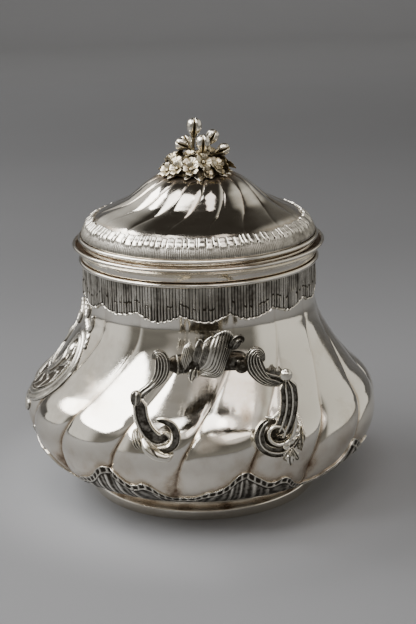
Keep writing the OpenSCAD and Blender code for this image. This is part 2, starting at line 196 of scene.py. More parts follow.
class Form:
    """Gathers grids of points into one mesh, with a value 0..1 for how dark each point is: mostly how deep in
    a crevice it lies, with painted shade added on some pieces.
    """

    def __init__(self):
        self.points, self.cavity, self.faces, self.count = [], [], [], 0

    def grid(self, points, cavity=0.0, wrap_u=False, wrap_v=False, caps=False, strip=False):
        """points is [u, v, xyz]; faces look outwards when u runs round and v runs up.

        caps closes round ends with fans, strip closes the thin ends of a leaf straight across.
        """
        nu, nv = points.shape[:2]
        index = np.arange(nu * nv).reshape(nu, nv) + self.count
        iu = np.arange(nu if wrap_u else nu - 1)
        iv = np.arange(nv if wrap_v else nv - 1)
        u, v = np.meshgrid(iu, iv, indexing="ij")
        u2, v2 = (u + 1) % nu, (v + 1) % nv
        quads = np.stack([index[u, v], index[u2, v], index[u2, v2], index[u, v2]], axis=-1)
        self.faces.append(quads.reshape(-1, 4))
        self.points.append(points.reshape(-1, 3))
        self.cavity.append(np.broadcast_to(cavity, (nu, nv)).reshape(-1))
        self.count += nu * nv
        if caps:
            self._cap(points[:, 0], index[:, 0][::-1])
            self._cap(points[:, -1], index[:, -1])
        if strip:
            half = nu // 2
            for ring in (index[:, 0][::-1], index[:, -1]):
                near, far = ring[:half], ring[half:][::-1]
                self.faces.append(np.stack([near[:-1], near[1:], far[1:], far[:-1]], axis=-1))
        return self

    def _cap(self, ring, index):
        """Closes a ring with a fan of quads that end in its middle."""
        centre = ring.mean(axis=0)
        self.points.append(centre[None])
        self.cavity.append(np.zeros(1))
        n = len(index)
        following = np.roll(index, -1)
        middle = np.full(n, self.count)
        self.faces.append(np.stack([index, following, middle, middle], axis=-1))
        self.count += 1

    def make(self, name, slot, node_names, body, turned=False, hard=None):
        """Makes the piece; turned turns it half round, hard is the angle from which edges stay sharp."""
        points = np.vstack(self.points) * MM
        if turned:
            points[:, :2] *= -1
        faces = np.vstack(self.faces)
        mesh = bpy.data.meshes.new(name)
        three = faces[:, 2] == faces[:, 3]
        loops = [*faces[~three], *faces[three][:, :3]]
        mesh.from_pydata(points.tolist(), [], [f.tolist() for f in loops])
        mesh.polygons.foreach_set("use_smooth", np.ones(len(mesh.polygons), bool))
        layer = mesh.attributes.new("cavity", "FLOAT", "POINT")
        layer.data.foreach_set("value", np.concatenate(self.cavity).astype(np.float32))
        mesh.update()
        if hard:
            mesh.set_sharp_from_angle(angle=math.radians(hard))
        mesh.materials.append(LOOKS[slot])
        piece = bpy.data.objects.new(name, mesh)
        bpy.context.scene.collection.objects.link(piece)
        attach(piece, body)
        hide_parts(*node_names)
        return piece


def lathe_points(outline, around, wobble=0.0, seed=1):
    """Turns [radius, height] points round the axis; returns a grid [around, outline, xyz]."""
    radius, height = np.asarray(outline, float).T[:, None, :]
    angle = ring_angles(around)[:, None]
    return polar(angle, radius + wander(angle, height, wobble, seed=seed), height)


def make_piece(name, slot, node_name, body, points, cavity, hard=None, **closing):
    """A piece made of one grid of points that runs round the axis."""
    form = Form()
    form.grid(points, cavity, wrap_u=True, **closing)
    form.make(name, slot, [node_name], body, hard=hard)


def make_ring(name, node_name, body, outline, cavity, around, wobble=0.0, seed=1, hard=None):
    """A turned ring with a closed outline of [radius, height] points."""
    points = lathe_points(outline, around, wobble, seed)
    make_piece(name, "polished_silver", node_name, body, points, cavity, hard, wrap_v=True)


def make_band(name, node_name, body, front, cavity, back):
    """A chased strip that lies on the sheet: its relief, closed by a dark back under the sheet."""
    points = np.concatenate([front, back], axis=1)
    cavity = np.concatenate([cavity, np.ones(back.shape[:2])], axis=1)
    make_piece(name, "chased_silver", node_name, body, points, cavity, wrap_v=True)


def make_wire(name, node_name, body, wire_r, ring_r, z):
    """A round wire ring soldered on; it is darkest on the side towards the axis."""
    t = ring_angles(20)
    outline = np.stack([ring_r + wire_r * np.cos(t), z + wire_r * np.sin(t)], axis=1)
    make_ring(name, node_name, body, outline, np.clip(-np.cos(t), 0, 1), around=384, wobble=0.015, seed=9)


def rounded(outline, radius, steps=4):
    """Rounds every corner of a closed outline of [x, y] points."""
    p = np.asarray(outline, float)
    out = []
    for i in range(len(p)):
        before, here, after = p[i - 1], p[i], p[(i + 1) % len(p)]
        cut = min(radius, 0.45 * np.linalg.norm(before - here), 0.45 * np.linalg.norm(after - here))
        a = here + unit(before - here) * cut
        b = here + unit(after - here) * cut
        for t in np.linspace(0, 1, steps):
            out.append((1 - t) ** 2 * a + 2 * t * (1 - t) * here + t**2 * b)
    return np.array(out)


# ---- the bowl's own surface ----

bowl_line = curve(
    [
        (FOOT_R - 1, FLOOR_Z), (BELLY_R - 17, FLOOR_Z + 2), (BELLY_R - 7.4, BELLY_Z - 19),
        (BELLY_R - 1.7, BELLY_Z - 9.5), (BELLY_R, BELLY_Z), (BELLY_R - 2.6, 47),
        (68.3, 55.2), (60.4, 65.5), (54.6, 75), (NECK_R + 1.1, 82), (NECK_R, 88), (NECK_R, NECK_TOP),
    ],
    220,
)


def crown_r(z):
    """Radius of the bowl over the crowns of its lobes."""
    return np.interp(z, bowl_line[:, 1], bowl_line[:, 0])


def bowl_phase(z):
    """Angle of the first valley at a height."""
    return SWIRL * smooth(36, 84, z) - SWIRL + LOBE / 2 - LOW_TURN * smooth(46, 24, z)


def bowl_valley_depth(z):
    """How deep the valleys between the lobes are at a height."""
    fade = (1 - 0.66 * smooth(39, 60, z)) * (1 - 0.6 * smooth(60, 86, z)) * (1 - smooth(87, 95, z))
    return LOBE_DEPTH * smooth(FLOOR_Z + 1, BELLY_Z - 9, z) * fade


def valley_shape(part, crease=0.35):
    """1 in a valley, 0 on the crown; part is the place across a lobe, crease how sharp the valley is."""
    x = np.abs(1 - 2 * part)
    return (1 - crease) * x**2 + crease * x**9


def bowl_r(angle, z):
    """Radius of the bowl's lobed surface."""
    part = ((angle - bowl_phase(z)) / LOBE) % 1
    return crown_r(z) - bowl_valley_depth(z) * valley_shape(part)


def on_bowl(angle, z, lift=0.0):
    """A point on the bowl's lobed surface, moved outwards by lift."""
    return polar(angle, bowl_r(angle, z) + lift, z)


# ---- materials ----


def node_maker(material):
    """Clears a material or world and returns a function that adds a node and links its inputs."""
    material.use_nodes = True
    tree = material.node_tree
    tree.nodes.clear()

    def add(kind, inputs=(), **settings):
        node = tree.nodes.new(kind)
        for key, value in settings.items():
            setattr(node, key, value)
        for key, value in dict(inputs).items():
            if isinstance(value, bpy.types.NodeSocket):
                tree.links.new(value, node.inputs[key])
            else:
                node.inputs[key].default_value = value
        return node

    return add


def noise(add, place, scale, detail, roughness=0.5, stretch=None, rotation=(0, 0, 0)):
    """Value of a noise texture; stretch draws it out into streaks across the Z axis."""
    if stretch:
        streaks = {"Vector": place, "Scale": (1, 1, stretch), "Rotation": rotation}
        place = add("ShaderNodeMapping", streaks).outputs[0]
    inputs = {"Vector": place, "Scale": scale, "Detail": detail, "Roughness": roughness}
    return add("ShaderNodeTexNoise", inputs).outputs["Fac"]


def ranged(add, value, start=(0, 1), end=(0, 1), soft=False):
    """The value moved from one range to another."""
    inputs = {"Value": value, "From Min": start[0], "From Max": start[1], "To Min": end[0], "To Max": end[1]}
    kind = "SMOOTHSTEP" if soft else "LINEAR"
    return add("ShaderNodeMapRange", inputs, interpolation_type=kind).outputs["Result"]


def sum_of(add, first, second, clamp=False):
    return add("ShaderNodeMath", {0: first, 1: second}, operation="ADD", use_clamp=clamp).outputs[0]


def product_of(add, first, *others):
    for other in others:
        first = add("ShaderNodeMath", {0: first, 1: other}, operation="MULTIPLY").outputs[0]
    return first


def silver(name, bright, dark, gloss, dull, crevice_gain, cloud_gain, scratch, tint=None):
    """Polished silver: dark tarnish gathers in crevices and in soft clouds, gloss varies with both. The
    crevice value also carries painted shade on some pieces.

    bright, tint and dark are the colours of clean, half tarnished and tarnished silver. gloss and dull are
    the roughness of clean and tarnished silver. The gains are how much crevices and clouds tarnish, and
    scratch is the strength of fine scuffs.
    """
    material = bpy.data.materials.new(name)
    add = node_maker(material)
    place = add("ShaderNodeTexCoord").outputs["Object"]
    depth = add("ShaderNodeAttribute", attribute_name="cavity").outputs["Fac"]
    clouds = noise(add, place, scale=38, detail=5, roughness=0.62)
    grain = noise(add, place, scale=420, detail=4, roughness=0.6)
    smear = noise(add, place, scale=120, detail=3, stretch=5)
    scuff = noise(add, place, scale=900, detail=2, stretch=9, rotation=(0.3, 0.2, 0))
    grit = ranged(add, grain, start=(0.3, 0.7), end=(0.7, 1.25))
    cloud = ranged(add, clouds, start=(0.48, 0.72), end=(0, cloud_gain))
    tarnish = sum_of(add, product_of(add, depth, crevice_gain, grit), cloud, clamp=True)
    ramp = add("ShaderNodeValToRGB", {"Fac": tarnish})
    stops = ramp.color_ramp.elements
    stops[0].color = (*bright, 1)
    stops[1].color = (*dark, 1)
    middle = stops.new(0.45)
    middle.color = (*(tint or tuple(0.55 * b + 0.45 * d for b, d in zip(bright, dark))), 1)
    sheen = ranged(add, smear, start=(0.35, 0.75), end=(gloss, gloss + 0.08))
    roughness = sum_of(add, sheen, ranged(add, tarnish, end=(0, dull - gloss)))
    scuffed = add("ShaderNodeBump", {"Height": scuff, "Strength": scratch, "Distance": 0.00004}).outputs[0]
    dents = {"Height": clouds, "Normal": scuffed, "Strength": 0.17, "Distance": 0.0004}
    dented = add("ShaderNodeBump", dents).outputs[0]
    shader = add(
        "ShaderNodeBsdfPrincipled",
        {"Base Color": ramp.outputs["Color"], "Roughness": roughness, "Normal": dented, "Metallic": 1.0},
    )
    add("ShaderNodeOutputMaterial", {"Surface": shader.outputs[0]})
    return material


LOOKS = {
    "polished_silver": silver(
        "polished_sheet", bright=(0.87, 0.832, 0.745), dark=(0.16, 0.105, 0.065), tint=(0.55, 0.47, 0.37),
        gloss=0.05, dull=0.4, crevice_gain=0.95, cloud_gain=0.34, scratch=0.16,
    ),
    "chased_silver": silver(
        "chased_relief", bright=(0.84, 0.805, 0.72), dark=(0.052, 0.044, 0.034),
        gloss=0.14, dull=0.5, crevice_gain=1.25, cloud_gain=0.3, scratch=0.45,
    ),
    "cast_silver": silver(
        "cast_handle", bright=(0.84, 0.8, 0.7), dark=(0.045, 0.038, 0.028),
        gloss=0.12, dull=0.3, crevice_gain=1.1, cloud_gain=0.1, scratch=0.25,
    ),
    "gilt_tinged_silver": silver(
        "finial_casting", bright=(0.8, 0.765, 0.68), dark=(0.05, 0.04, 0.026), tint=(0.46, 0.38, 0.22),
        gloss=0.18, dull=0.5, crevice_gain=1.2, cloud_gain=0.16, scratch=0.35,
    ),
}


# ---- bowl ----


def stain(points, centres, size):
    """Brown tarnish left round solder joints, 0..1."""
    nearest = np.min([np.linalg.norm(points - np.asarray(centre), axis=-1) for centre in centres], axis=0)
    return bump(nearest, 0, size)


def bowl_rows(line, around, inner=False):
    """The lobed surface with mesh lines that follow the valleys, [around, rows, xyz], and a dark value:
    valley tarnish and, below the belly, wide bands that are partly stain and partly painted shade.
    """
    k = np.arange(around)[:, None]
    part = (k / around * LOBES) % 1
    z = line[None, :, 1]
    angle = TURN * k / around + bowl_phase(z)
    depth = bowl_valley_depth(z)
    r = line[None, :, 0] - depth * valley_shape(part)
    if not inner:
        r = r + wander(angle, z, 0.035) * smooth(FLOOR_Z, FLOOR_Z + 6, z)
    edge = np.minimum(part, 1 - part) * LOBE * line[None, :, 0]
    line_dark = bump(edge, 0, 0.45) * np.clip(depth / 0.5, 0, 1) * (1 - 0.75 * smooth(44, 58, z))
    # painted shade: the dark band beside each valley is wider on one flank of every lobe, the flank turned
    # from the light
    shaded_side = np.where(part > 0.5, 1.7, 0.8)
    stain_width = shaded_side * (1.5 + 1.6 * smooth(34, 24, z) + 0.7 * np.sin(7 * angle + 0.35 * z))
    patchy = 0.8 + 0.25 * np.sin(11 * angle + 0.5 * z)
    wide_dark = 0.95 * patchy * bump(edge, 0, stain_width) * smooth(42, 28, z)
    return polar(angle, r, z), np.maximum(line_dark, wide_dark)


def bowl_tarnish_and_shade(points, valley):
    """Dark value of the bowl's outside: valleys with painted shade on one flank of each lobe, solder joints,
    the border's edge, and darker below the belly.
    """
    angle, z = np.arctan2(points[..., 1], points[..., 0]), points[..., 2]
    joints = [(side * JOINT_X, side * y, SCROLL_Z + 2) for side in (1, -1) for y in JOINT_YS]
    spots = np.clip(wander(angle * 2, z * 2, 0.6, waves=12, seed=8), 0, 1)
    over_border = 0.42 * bump(z - border_top(angle), 0.8, 1.6)
    # darker below the belly, in patches
    darker_below_belly = 0.2 * smooth(44, 34, z) * (0.6 + 0.8 * spots)
    brown = 0.8 * stain(points, joints, size=11) * spots
    return np.clip(0.75 * np.maximum(valley, over_border) + brown + darker_below_belly, 0, 1)


def make_bowl_body():
    around = LOBES * 24
    inner = (bowl_line + inward(bowl_line) * SHEET)[::-3]
    inner[0] = (NECK_R - SHEET, NECK_TOP)
    inner = inner[inner[:, 1] > FLOOR_Z + SHEET]
    inner = np.vstack([inner, [(FOOT_R - 8, FLOOR_Z + SHEET)]])
    outside, valley = bowl_rows(bowl_line, around)
    inside, inner_valley = bowl_rows(inner, around, inner=True)
    points = np.concatenate([outside, inside], axis=1)
    cavity = np.concatenate([bowl_tarnish_and_shade(outside, valley), 0.6 * inner_valley + 0.1], axis=1)
    make_piece("bowl_sheet", "polished_silver", "bowl_body", "bowl", points, cavity, hard=38, caps=True)


def make_foot_ring():
    """A plain band with a hollow cove above it."""
    wall, step = 1.4, 0.9
    cove_r, cove_depth = FOOT_R - 2.7, 2.6
    band = [(FOOT_R, 0.0), (FOOT_R, FOOT_H * 0.36), (FOOT_R - step, FOOT_H * 0.42)]
    cove = [(cove_r + cove_depth * (1 - math.cos(a)), FOOT_H * 0.7 - 3.2 * a / 1.2)
            for a in np.linspace(1.1, -1.05, 12)]
    top = [(FOOT_R - step, FOOT_H), (FOOT_R - 4, FOOT_H)]
    back = [(cove_r - wall, FOOT_H - 4), (FOOT_R - wall, FOOT_H * 0.33), (FOOT_R - wall, 0.0)]
    outline = rounded(band + cove + top + back, 0.45)
    height = outline[:, 1]
    cavity = 0.06 + 0.4 * bump(height, FOOT_H * 0.47, 0.6) + 0.6 * smooth(FOOT_H - 2, FOOT_H, height)
    make_ring(
        "foot_ring_turned", "foot_ring", "bowl", outline, cavity, around=360, wobble=0.02, seed=5,
        hard=40,
    )


# One panel of the lower border: [degrees from its peak, height of the ribbon edge]
panel_edge = curve(
    [(-22.5, 19.2), (-16, 20), (-12, 22.6), (-8, 24.2), (-5, 26.8), (-1.8, 31.2), (1, 32), (5, 28.8),
     (8, 26), (10.5, 25.6), (13, 27), (15.6, 25.8), (19, 21.6), (22.5, 19.2)], 160,
)


def panel_place(angle):
    """Degrees from the nearest peak of the lower border."""
    panel = 360 / PANELS
    return (np.degrees(angle + SWIRL - LOBE / 2 + 1.3 * LOW_TURN)) % panel - panel / 2


def border_top(angle):
    """Height of the lower border's upper edge."""
    return np.interp(panel_place(angle), panel_edge[:, 0], panel_edge[:, 1])


def make_lower_border():
    """Fluted shell panels under a raised ribbon that is punched with a row of holes."""
    around, low_z = LOBES * 130, 14.2
    ribbon_width, ribbon_middle, hole_gap = 4.2, 1.95, 3.4
    flute_degrees = 4.5
    least_relief = 0.09
    angle = ring_angles(around)
    top = border_top(angle)
    edge_points = on_bowl(angle, top)
    along = np.cumsum(np.linalg.norm(np.roll(edge_points, -1, axis=0) - edge_points, axis=1))
    hole_pitch = along[-1] / round(along[-1] / hole_gap)
    ribbon_low = (top - 0.7 * np.minimum(ribbon_width, top - low_z))[:, None]
    flute_z = low_z + (ribbon_low - low_z) * np.linspace(0, 1, 26, endpoint=False)[None, :]
    ribbon_z = ribbon_low + (top[:, None] - ribbon_low) * np.linspace(0, 1, 24)[None, :]
    z = np.concatenate([flute_z, ribbon_z], axis=1)
    a = np.broadcast_to(angle[:, None], z.shape)
    step = np.linalg.norm(np.diff(on_bowl(a, z), axis=1), axis=2)
    from_edge = np.cumsum(np.concatenate([np.zeros((around, 1)), step[:, ::-1]], axis=1), axis=1)[:, ::-1]
    place = panel_place(a)
    fan = place * (1 - 0.018 * from_edge) + 1.4 * np.sin(place / 4) + 0.5 * np.sin(place / 1.7 + 1)
    flute = np.abs(2 * ((fan / flute_degrees) % 1) - 1)
    under = smooth(3.8, 4.5, from_edge)
    hole_at = np.abs((along[:, None] / hole_pitch) % 1 - 0.5) * hole_pitch
    hole = bump(hole_at, 0, 1.25, power=4) * bump(from_edge, ribbon_middle, 1.3, power=4)
    ribbon = bump(from_edge, 0.4, 0.45) + bump(from_edge, 3.5, 0.45)
    ribbon = ribbon + 0.8 * bump(from_edge, ribbon_middle, 1.5, power=4)
    fluted = under * (0.1 + 0.62 * flute**2.4)
    relief = 0.1 + 0.62 * np.minimum(ribbon, 1.15) * (1 - under) + fluted - 0.95 * hole
    relief = relief * (0.3 + 0.7 * smooth(0, 0.3, from_edge)) * (0.5 + 0.5 * smooth(low_z, low_z + 2, z))
    relief = np.maximum(relief, least_relief)
    scoop = under * (0.42 + 0.4 * bump(flute, 0.45, 0.3)) * (1 - smooth(0.7, 0.95, flute))
    cavity = np.clip(1.3 * hole + scoop + 0.8 * bump(from_edge, 4.3, 0.4), 0, 1)
    back = on_bowl(a[:, ::-11], z[:, ::-11], -0.2)
    make_band("lower_border_chased", "lower_border", "bowl", on_bowl(a, z, relief), cavity, back)


def uneven_ribs(around, ribs, jitter, seed):
    """Hand-cut ribs of uneven width: for each step round, the rib's number and the place across it."""
    edges = np.arange(ribs) + noise_around(ribs, seed, jitter)
    at = np.arange(around) / around * ribs
    number = np.searchsorted(edges, at, side="right") - 1
    low = np.where(number < 0, edges[-1] - ribs, edges[number])
    high = np.where(number + 1 >= ribs, edges[0] + ribs, edges[(number + 1) % ribs])
    return number % ribs, (at - low) / (high - low)


def make_neck_band():
    """Fine upright ribs with a beaded, wavy lower edge and a broken row of punched dots."""
    ribs, teeth = LOBES * 15, LOBES * 7
    around = ribs * 9
    low_z, top_z, lobe_shift = 91.4, NECK_TOP - 0.15, math.radians(1.6)
    angle = ring_angles(around)
    number, rib = uneven_ribs(around, ribs, 0.16, seed=20)
    place = (angle - LOBE / 2 + lobe_shift) / LOBE
    hang = 2.7 + noise_around(LOBES, 21, 0.7)[place.astype(int) % LOBES]
    tooth_number, tooth = uneven_ribs(around, teeth, 0.3, seed=26)
    tooth = (0.5 + 0.3 * noise_around(teeth, 27)[tooth_number]) * (1 - np.abs(2 * tooth - 1) ** 2.2)
    edge = (low_z - hang * (1 - np.abs(1 - 2 * (place % 1)) ** 1.7) - tooth)[:, None]
    v = np.concatenate([np.linspace(0, 0.14, 14), np.linspace(0.14, 1, 33)[1:]])
    z = edge + (top_z - edge) * v[None, :]
    a = np.broadcast_to(angle[:, None], z.shape)
    above = z - edge

    def per_rib(seed):
        return noise_around(ribs, seed)[number][:, None]

    reach = 6.2 + 2.2 * per_rib(28)
    bold = 1 - smooth(reach - 1.2, reach + 1.6, above)
    side = np.abs(2 * rib - 1)[:, None]
    round_rib = 1 - side**2.2
    hair = np.abs(np.sin(TURN * rib))[:, None]
    ribbed = 0.62 * bold * round_rib + (1 - bold) * (0.16 * hair + 0.22 * round_rib)
    relief = 0.08 + (1 + 0.4 * per_rib(23)) * ribbed
    beading = bump(above, 0.42, 0.34)
    punched = (np.random.default_rng(24).random(ribs) < 0.45)[number][:, None]
    dot_z = 6.0 + 0.5 * np.sin(3 * a * LOBES / 4) + 0.3 * per_rib(25)
    dot = punched * bump(rib[:, None], 0.5, 0.42, power=4) * bump(above, dot_z, 0.3)
    end = 0.2 + 0.8 * smooth(0.0, 0.25, above)
    lift = np.maximum(relief * smooth(0.5, 1.1, above), 0.78 * beading) * end - 0.4 * dot
    groove = smooth(0.5, 0.95, side) * (0.5 + 0.5 * bold)
    mottled = 0.28 + 0.22 * np.clip(wander(a * 2, z, 1.0, 9, 29), -1, 1)
    mottled = mottled * smooth(0.8, 1.8, above)
    cavity = np.clip(groove + 1.3 * dot + mottled + 0.25 * (1 - hair) * (1 - bold), 0, 1)
    cavity = np.clip(cavity + 0.7 * bump(above, 1.15, 0.3), 0, 1) * (1 - 0.95 * beading)
    back = on_bowl(a[:, ::-13], z[:, ::-13], -0.15)
    make_band("neck_band_chased", "neck_band", "bowl", on_bowl(a, z, lift), cavity, back)


def make_rim():
    """The cove moulding that widens to a lip, with the lid's ledge inside, and the wire under it."""
    outside, inside = NECK_R + 0.1, NECK_R - SHEET
    bead_r = 0.9
    outline = rounded([
        (inside, NECK_TOP), (outside, NECK_TOP), (outside, NECK_TOP + 1.9), (outside + 0.5, NECK_TOP + 2.3),
        (outside + 0.7, NECK_TOP + 3.2), (outside + 1.3, NECK_TOP + 4.6), (outside + 2.3, NECK_TOP + 6),
        (LIP_R - 0.8, LIP_Z - 1.6), (LIP_R - 0.1, LIP_Z - 1.1), (LIP_R, LIP_Z - 0.5), (LIP_R - 0.5, LIP_Z),
        (LIP_R - 1.3, LIP_Z - 0.05), (LIP_R - 1.9, LEDGE_Z), (inside, LEDGE_Z),
    ], 0.4)
    radius, height = outline.T
    ledge = 0.9 * (radius < LIP_R - 1.5) * (height > LEDGE_Z - 0.6)
    cavity = np.clip(0.06 + 0.7 * bump(height, NECK_TOP + 2.0, 0.5) + ledge, 0, 1)
    make_ring(
        "rim_moulding_turned", "rim_moulding", "bowl", outline, cavity,
        around=384, wobble=0.025, seed=7, hard=45,
    )
    make_wire("rim_bead_wire", "rim_bead", "bowl", bead_r, outside + bead_r, NECK_TOP + bead_r)


# ---- lid ----

dome_line = curve(
    [
        (DOME_EDGE_R + 3.2, 122.4), (DOME_EDGE_R, 124.6), (37, 127.2), (31.7, 129.8), (28.6, 132),
        (25.7, 134.4), (23.2, 136.6), (20, 138.8), (16, 140.6), (11, 141.9), (7, CROWN_Z), (2.3, CROWN_Z),
    ],
    110,
)
rim_line = np.array([
    (LID_R, RIM_Z), (LID_R, 113), (LID_R - 0.05, 114.2), (LID_R - 0.1, 115.2), (LID_R - 0.6, 116.8),
    (LID_R - 1.7, 118.4), (LID_R - 3.2, 120.6),
])
lid_line = np.vstack([rim_line, dome_line])


def dome_phase(r):
    """Angle of the dome's first valley at a radius."""
    return DOME_SWIRL * smooth(DOME_EDGE_R + 2, MOUND_R, r)


def dome_valley_depth(r):
    """How deep the valleys between the dome's flutes are at a radius."""
    outer = 0.14 + 0.32 * smooth(DOME_EDGE_R, DOME_EDGE_R - 13, r)
    return DOME_DEPTH * outer * smooth(47, 43, r) * (0.4 + 0.6 * smooth(MOUND_R - 3, MOUND_R + 7, r))


def dome_drop(angle, r):
    """How far the dome's surface lies below its outline in a valley."""
    part = ((angle - dome_phase(r)) / LOBE) % 1
    return dome_valley_depth(r) * valley_shape(part, 0.45)


def dome_rows(line, around, waviness):
    """The dome with mesh lines that follow the flutes, [around, rows, xyz] and crevices."""
    k = np.arange(around)[:, None]
    r = line[None, :, 0]
    angle = TURN * k / around + dome_phase(r)
    z = line[None, :, 1] - dome_drop(angle, r) + wander(angle, r, waviness, seed=13) * smooth(48, 40, r)
    part = (k / around * LOBES) % 1
    edge = np.minimum(part, 1 - part) * LOBE * r
    valley = 0.3 * bump(edge, 0, 0.4) * np.clip(dome_valley_depth(r) / 0.4, 0, 1)
    return polar(angle, r, z), valley


def make_lid_dome():
    around = LOBES * 26
    under = (lid_line + inward(lid_line) * SHEET)[::-2]
    under = under[under[:, 1] > RIM_Z]
    under = np.vstack([under, [(LID_R - SHEET, RIM_Z)]])
    top, valley = dome_rows(lid_line, around, waviness=0.035)
    below, valley_below = dome_rows(under, around, waviness=0.0)
    near_mound = 0.7 * bump(lid_line[None, :, 0], MOUND_R + 1, 3.5)
    near_border = 0.275 * bump(lid_line[None, :, 0], DOME_EDGE_R + 2.2, 0.8)
    top_cavity = np.clip(0.7 * valley + near_mound + near_border, 0, 1)
    points = np.concatenate([top, below], axis=1)
    cavity = np.concatenate([top_cavity, 0.5 * valley_below], axis=1)
    make_piece("lid_dome_sheet", "polished_silver", "lid_dome", "lid", points, cavity, hard=38, wrap_v=True)


def make_lid_border():
    """A convex border: hair-fine ribs below, broad uneven flames above, dots punched between them."""
    ribs, low_rows, tip_rows = LOBES * 7, 38, 18
    around = ribs * 20
    line = curve(
        [(51.05, 115.45), (50.95, 116.6), (50.1, 118.6), (48.7, 120.7), (47.3, 121.9), (46, 122.7),
         (44.9, 123.3)], 260,
    )
    border_width = 11.4
    out_r, out_z = -inward(line).T
    angle = ring_angles(around)
    number, rib = uneven_ribs(around, ribs, 0.4, seed=30)
    side = np.abs(2 * rib - 1)
    swell = 0.5 * np.sin(angle * LOBES + 0.6) + 0.5 * np.sin(angle * 37 + 1)
    flame = noise_around(ribs, 31)[number]
    tip = (1 - (0.05 * side**2 + 0.045 * (flame + 1) + 0.035 * (1 - swell)))[:, None]
    v = np.concatenate([np.linspace(0, 0.9, low_rows, endpoint=False), np.linspace(0.9, 1, tip_rows)])
    s = v[None, :] * tip
    rib, side, a = rib[:, None], side[:, None], angle[:, None]

    def along(values):
        return np.interp(s * (len(line) - 1), np.arange(len(line)), values)

    def per_rib(seed):
        return noise_around(ribs, seed)[number][:, None]

    below_tip = (tip - s) * border_width
    parting = 0.4 + 0.05 * per_rib(34)
    upper = smooth(parting - 0.06, parting + 0.08, s - 0.04 * side**2)
    wide = (1 - side**5) * (1 + 0.3 * per_rib(32))
    hair = np.abs(np.sin(4 * math.pi * rib + 0.3)) ** 0.8
    rim = bump(below_tip, 0.35, 0.3)
    scooped = 1 - 0.35 * bump(below_tip, 2.4, 1.4)
    relief = 0.1 + upper * 0.5 * wide * scooped + (1 - upper) * 0.2 * hair
    relief = np.maximum(relief, 0.45 * rim)
    punched = (np.random.default_rng(33).random(ribs) < 0.6)[number][:, None]
    dot = punched * bump(1 - side, 0, 0.28) * bump(s, 0.5, 0.03)
    lift = relief * (0.2 + 0.8 * smooth(0, 0.25, below_tip)) - 0.4 * dot
    groove = 0.95 * smooth(0.8, 0.96, side)
    cavity = np.clip(upper * groove + 1.3 * dot + (1 - upper) * (0.3 + 0.45 * (1 - hair)), 0, 1)
    cavity = cavity * (1 - 0.95 * rim)
    r = along(line[:, 0])
    z = along(line[:, 1]) - dome_drop(a, r) * smooth(46.5, 44, r)

    def surface(height):
        return polar(a, r + height * along(out_r), z + height * along(out_z))

    back = surface(-0.4)[:, ::-14]
    make_band("lid_border_chased", "lid_border", "lid", surface(lift), cavity, back)


def make_lid_edge():
    """The wire round the lid's edge, and the flanged ring that centres the lid in the neck."""
    wire_r = (WIRE_HIGH - WIRE_LOW) / 2
    make_wire("lid_edge_wire", "lid_wire", "lid", wire_r, WIRE_R - wire_r, (WIRE_HIGH + WIRE_LOW) / 2)
    (_, _, low_z), (flange_r, _, top_z) = cad("lid_bezel")
    outer_r = NECK_R - SHEET - 0.6
    flange_z = LEDGE_Z + 0.3
    outline = rounded([
        (outer_r - SHEET, low_z), (outer_r, low_z), (outer_r, flange_z), (flange_r, flange_z),
        (flange_r, top_z), (outer_r - SHEET, top_z),
    ], 0.2)
    make_ring("lid_bezel_ring", "lid_bezel", "lid", outline, 0.15, around=320, wobble=0.01, hard=45)


# ---- castings: grooved bars and leaves ----


def path_frames(path, out=(1, 0, 0)):
    """Width direction and outward direction along a path of points."""
    ahead = unit(np.gradient(path, axis=0))
    out = np.broadcast_to(np.asarray(out, float), path.shape)
    side = unit(np.cross(ahead, out))
    return side, unit(np.cross(side, ahead))


def bar_section(ridges):
    """Cross-section of a cast bar, edge to edge over the front, then back underneath: x, y, channel."""
    front_points, back_points, flat_back = 61, 12, 0.7
    x = np.sin(np.linspace(-0.5, 0.5, front_points) * math.pi)
    channel = smooth(0.1, 0.62, 0.5 - 0.5 * np.cos(math.pi * (x + 1) * (ridges - 1)))
    y = np.sqrt(1 - np.abs(x) ** (2 if ridges == 1 else 6))
    back_x = np.cos(np.linspace(0, math.pi, back_points + 2)[1:-1])
    back_y = -flat_back * np.sqrt(1 - back_x**2)
    return np.append(x, back_x), np.append(y, back_y), np.append(channel, np.zeros(back_points))


def grooved_bar(form, points, ridges=3, groove_depth=0.5, count=90, tone=0.0, blunt=(False, False),
                out=(1, 0, 0)):
    """A cast bar along [x, y, z, half width, half thickness] points, with raised ridges on its front.

    A blunt end is round and has a raised rim; other ends taper. tone is how dark the ridges are.
    """
    line = curve(points, count)
    side, front = path_frames(line[:, :3], out)
    x, y, channel = bar_section(ridges)
    along = lengths(line[:, :3])
    width, height, open_channel = line[:, 3].copy(), line[:, 4].copy(), np.ones(count)
    for distance, is_blunt in ((along, blunt[0]), (along[-1] - along, blunt[1])):
        part = distance / np.maximum(line[:, 3], 0.3)
        if is_blunt:
            round_end = np.sqrt(1 - (1 - np.clip(part, 0, 1)) ** 2)
            width = width * np.maximum(round_end, 0.08)
            height = height * (0.35 + 0.65 * smooth(0, 0.6, part))
            open_channel = open_channel * smooth(0.35, 0.9, part)
        else:
            taper = 0.3 + 0.7 * smooth(0, 1.2, part)
            width, height = width * taper, height * taper
    cut = channel[None, :] * open_channel[:, None]
    rise = y[None, :] * (1 - groove_depth * cut)
    ring = (
        line[:, None, :3]
        + side[:, None, :] * (width[:, None] * x[None, :])[..., None]
        + front[:, None, :] * (height[:, None] * rise)[..., None]
    )
    under = (y < -0.05) * 0.6
    cavity = np.clip(tone + (1 - tone) * np.maximum(0.8 * cut**0.7, under[None, :]), 0, 1)
    form.grid(np.swapaxes(ring, 0, 1), cavity.T, wrap_u=True, caps=True)


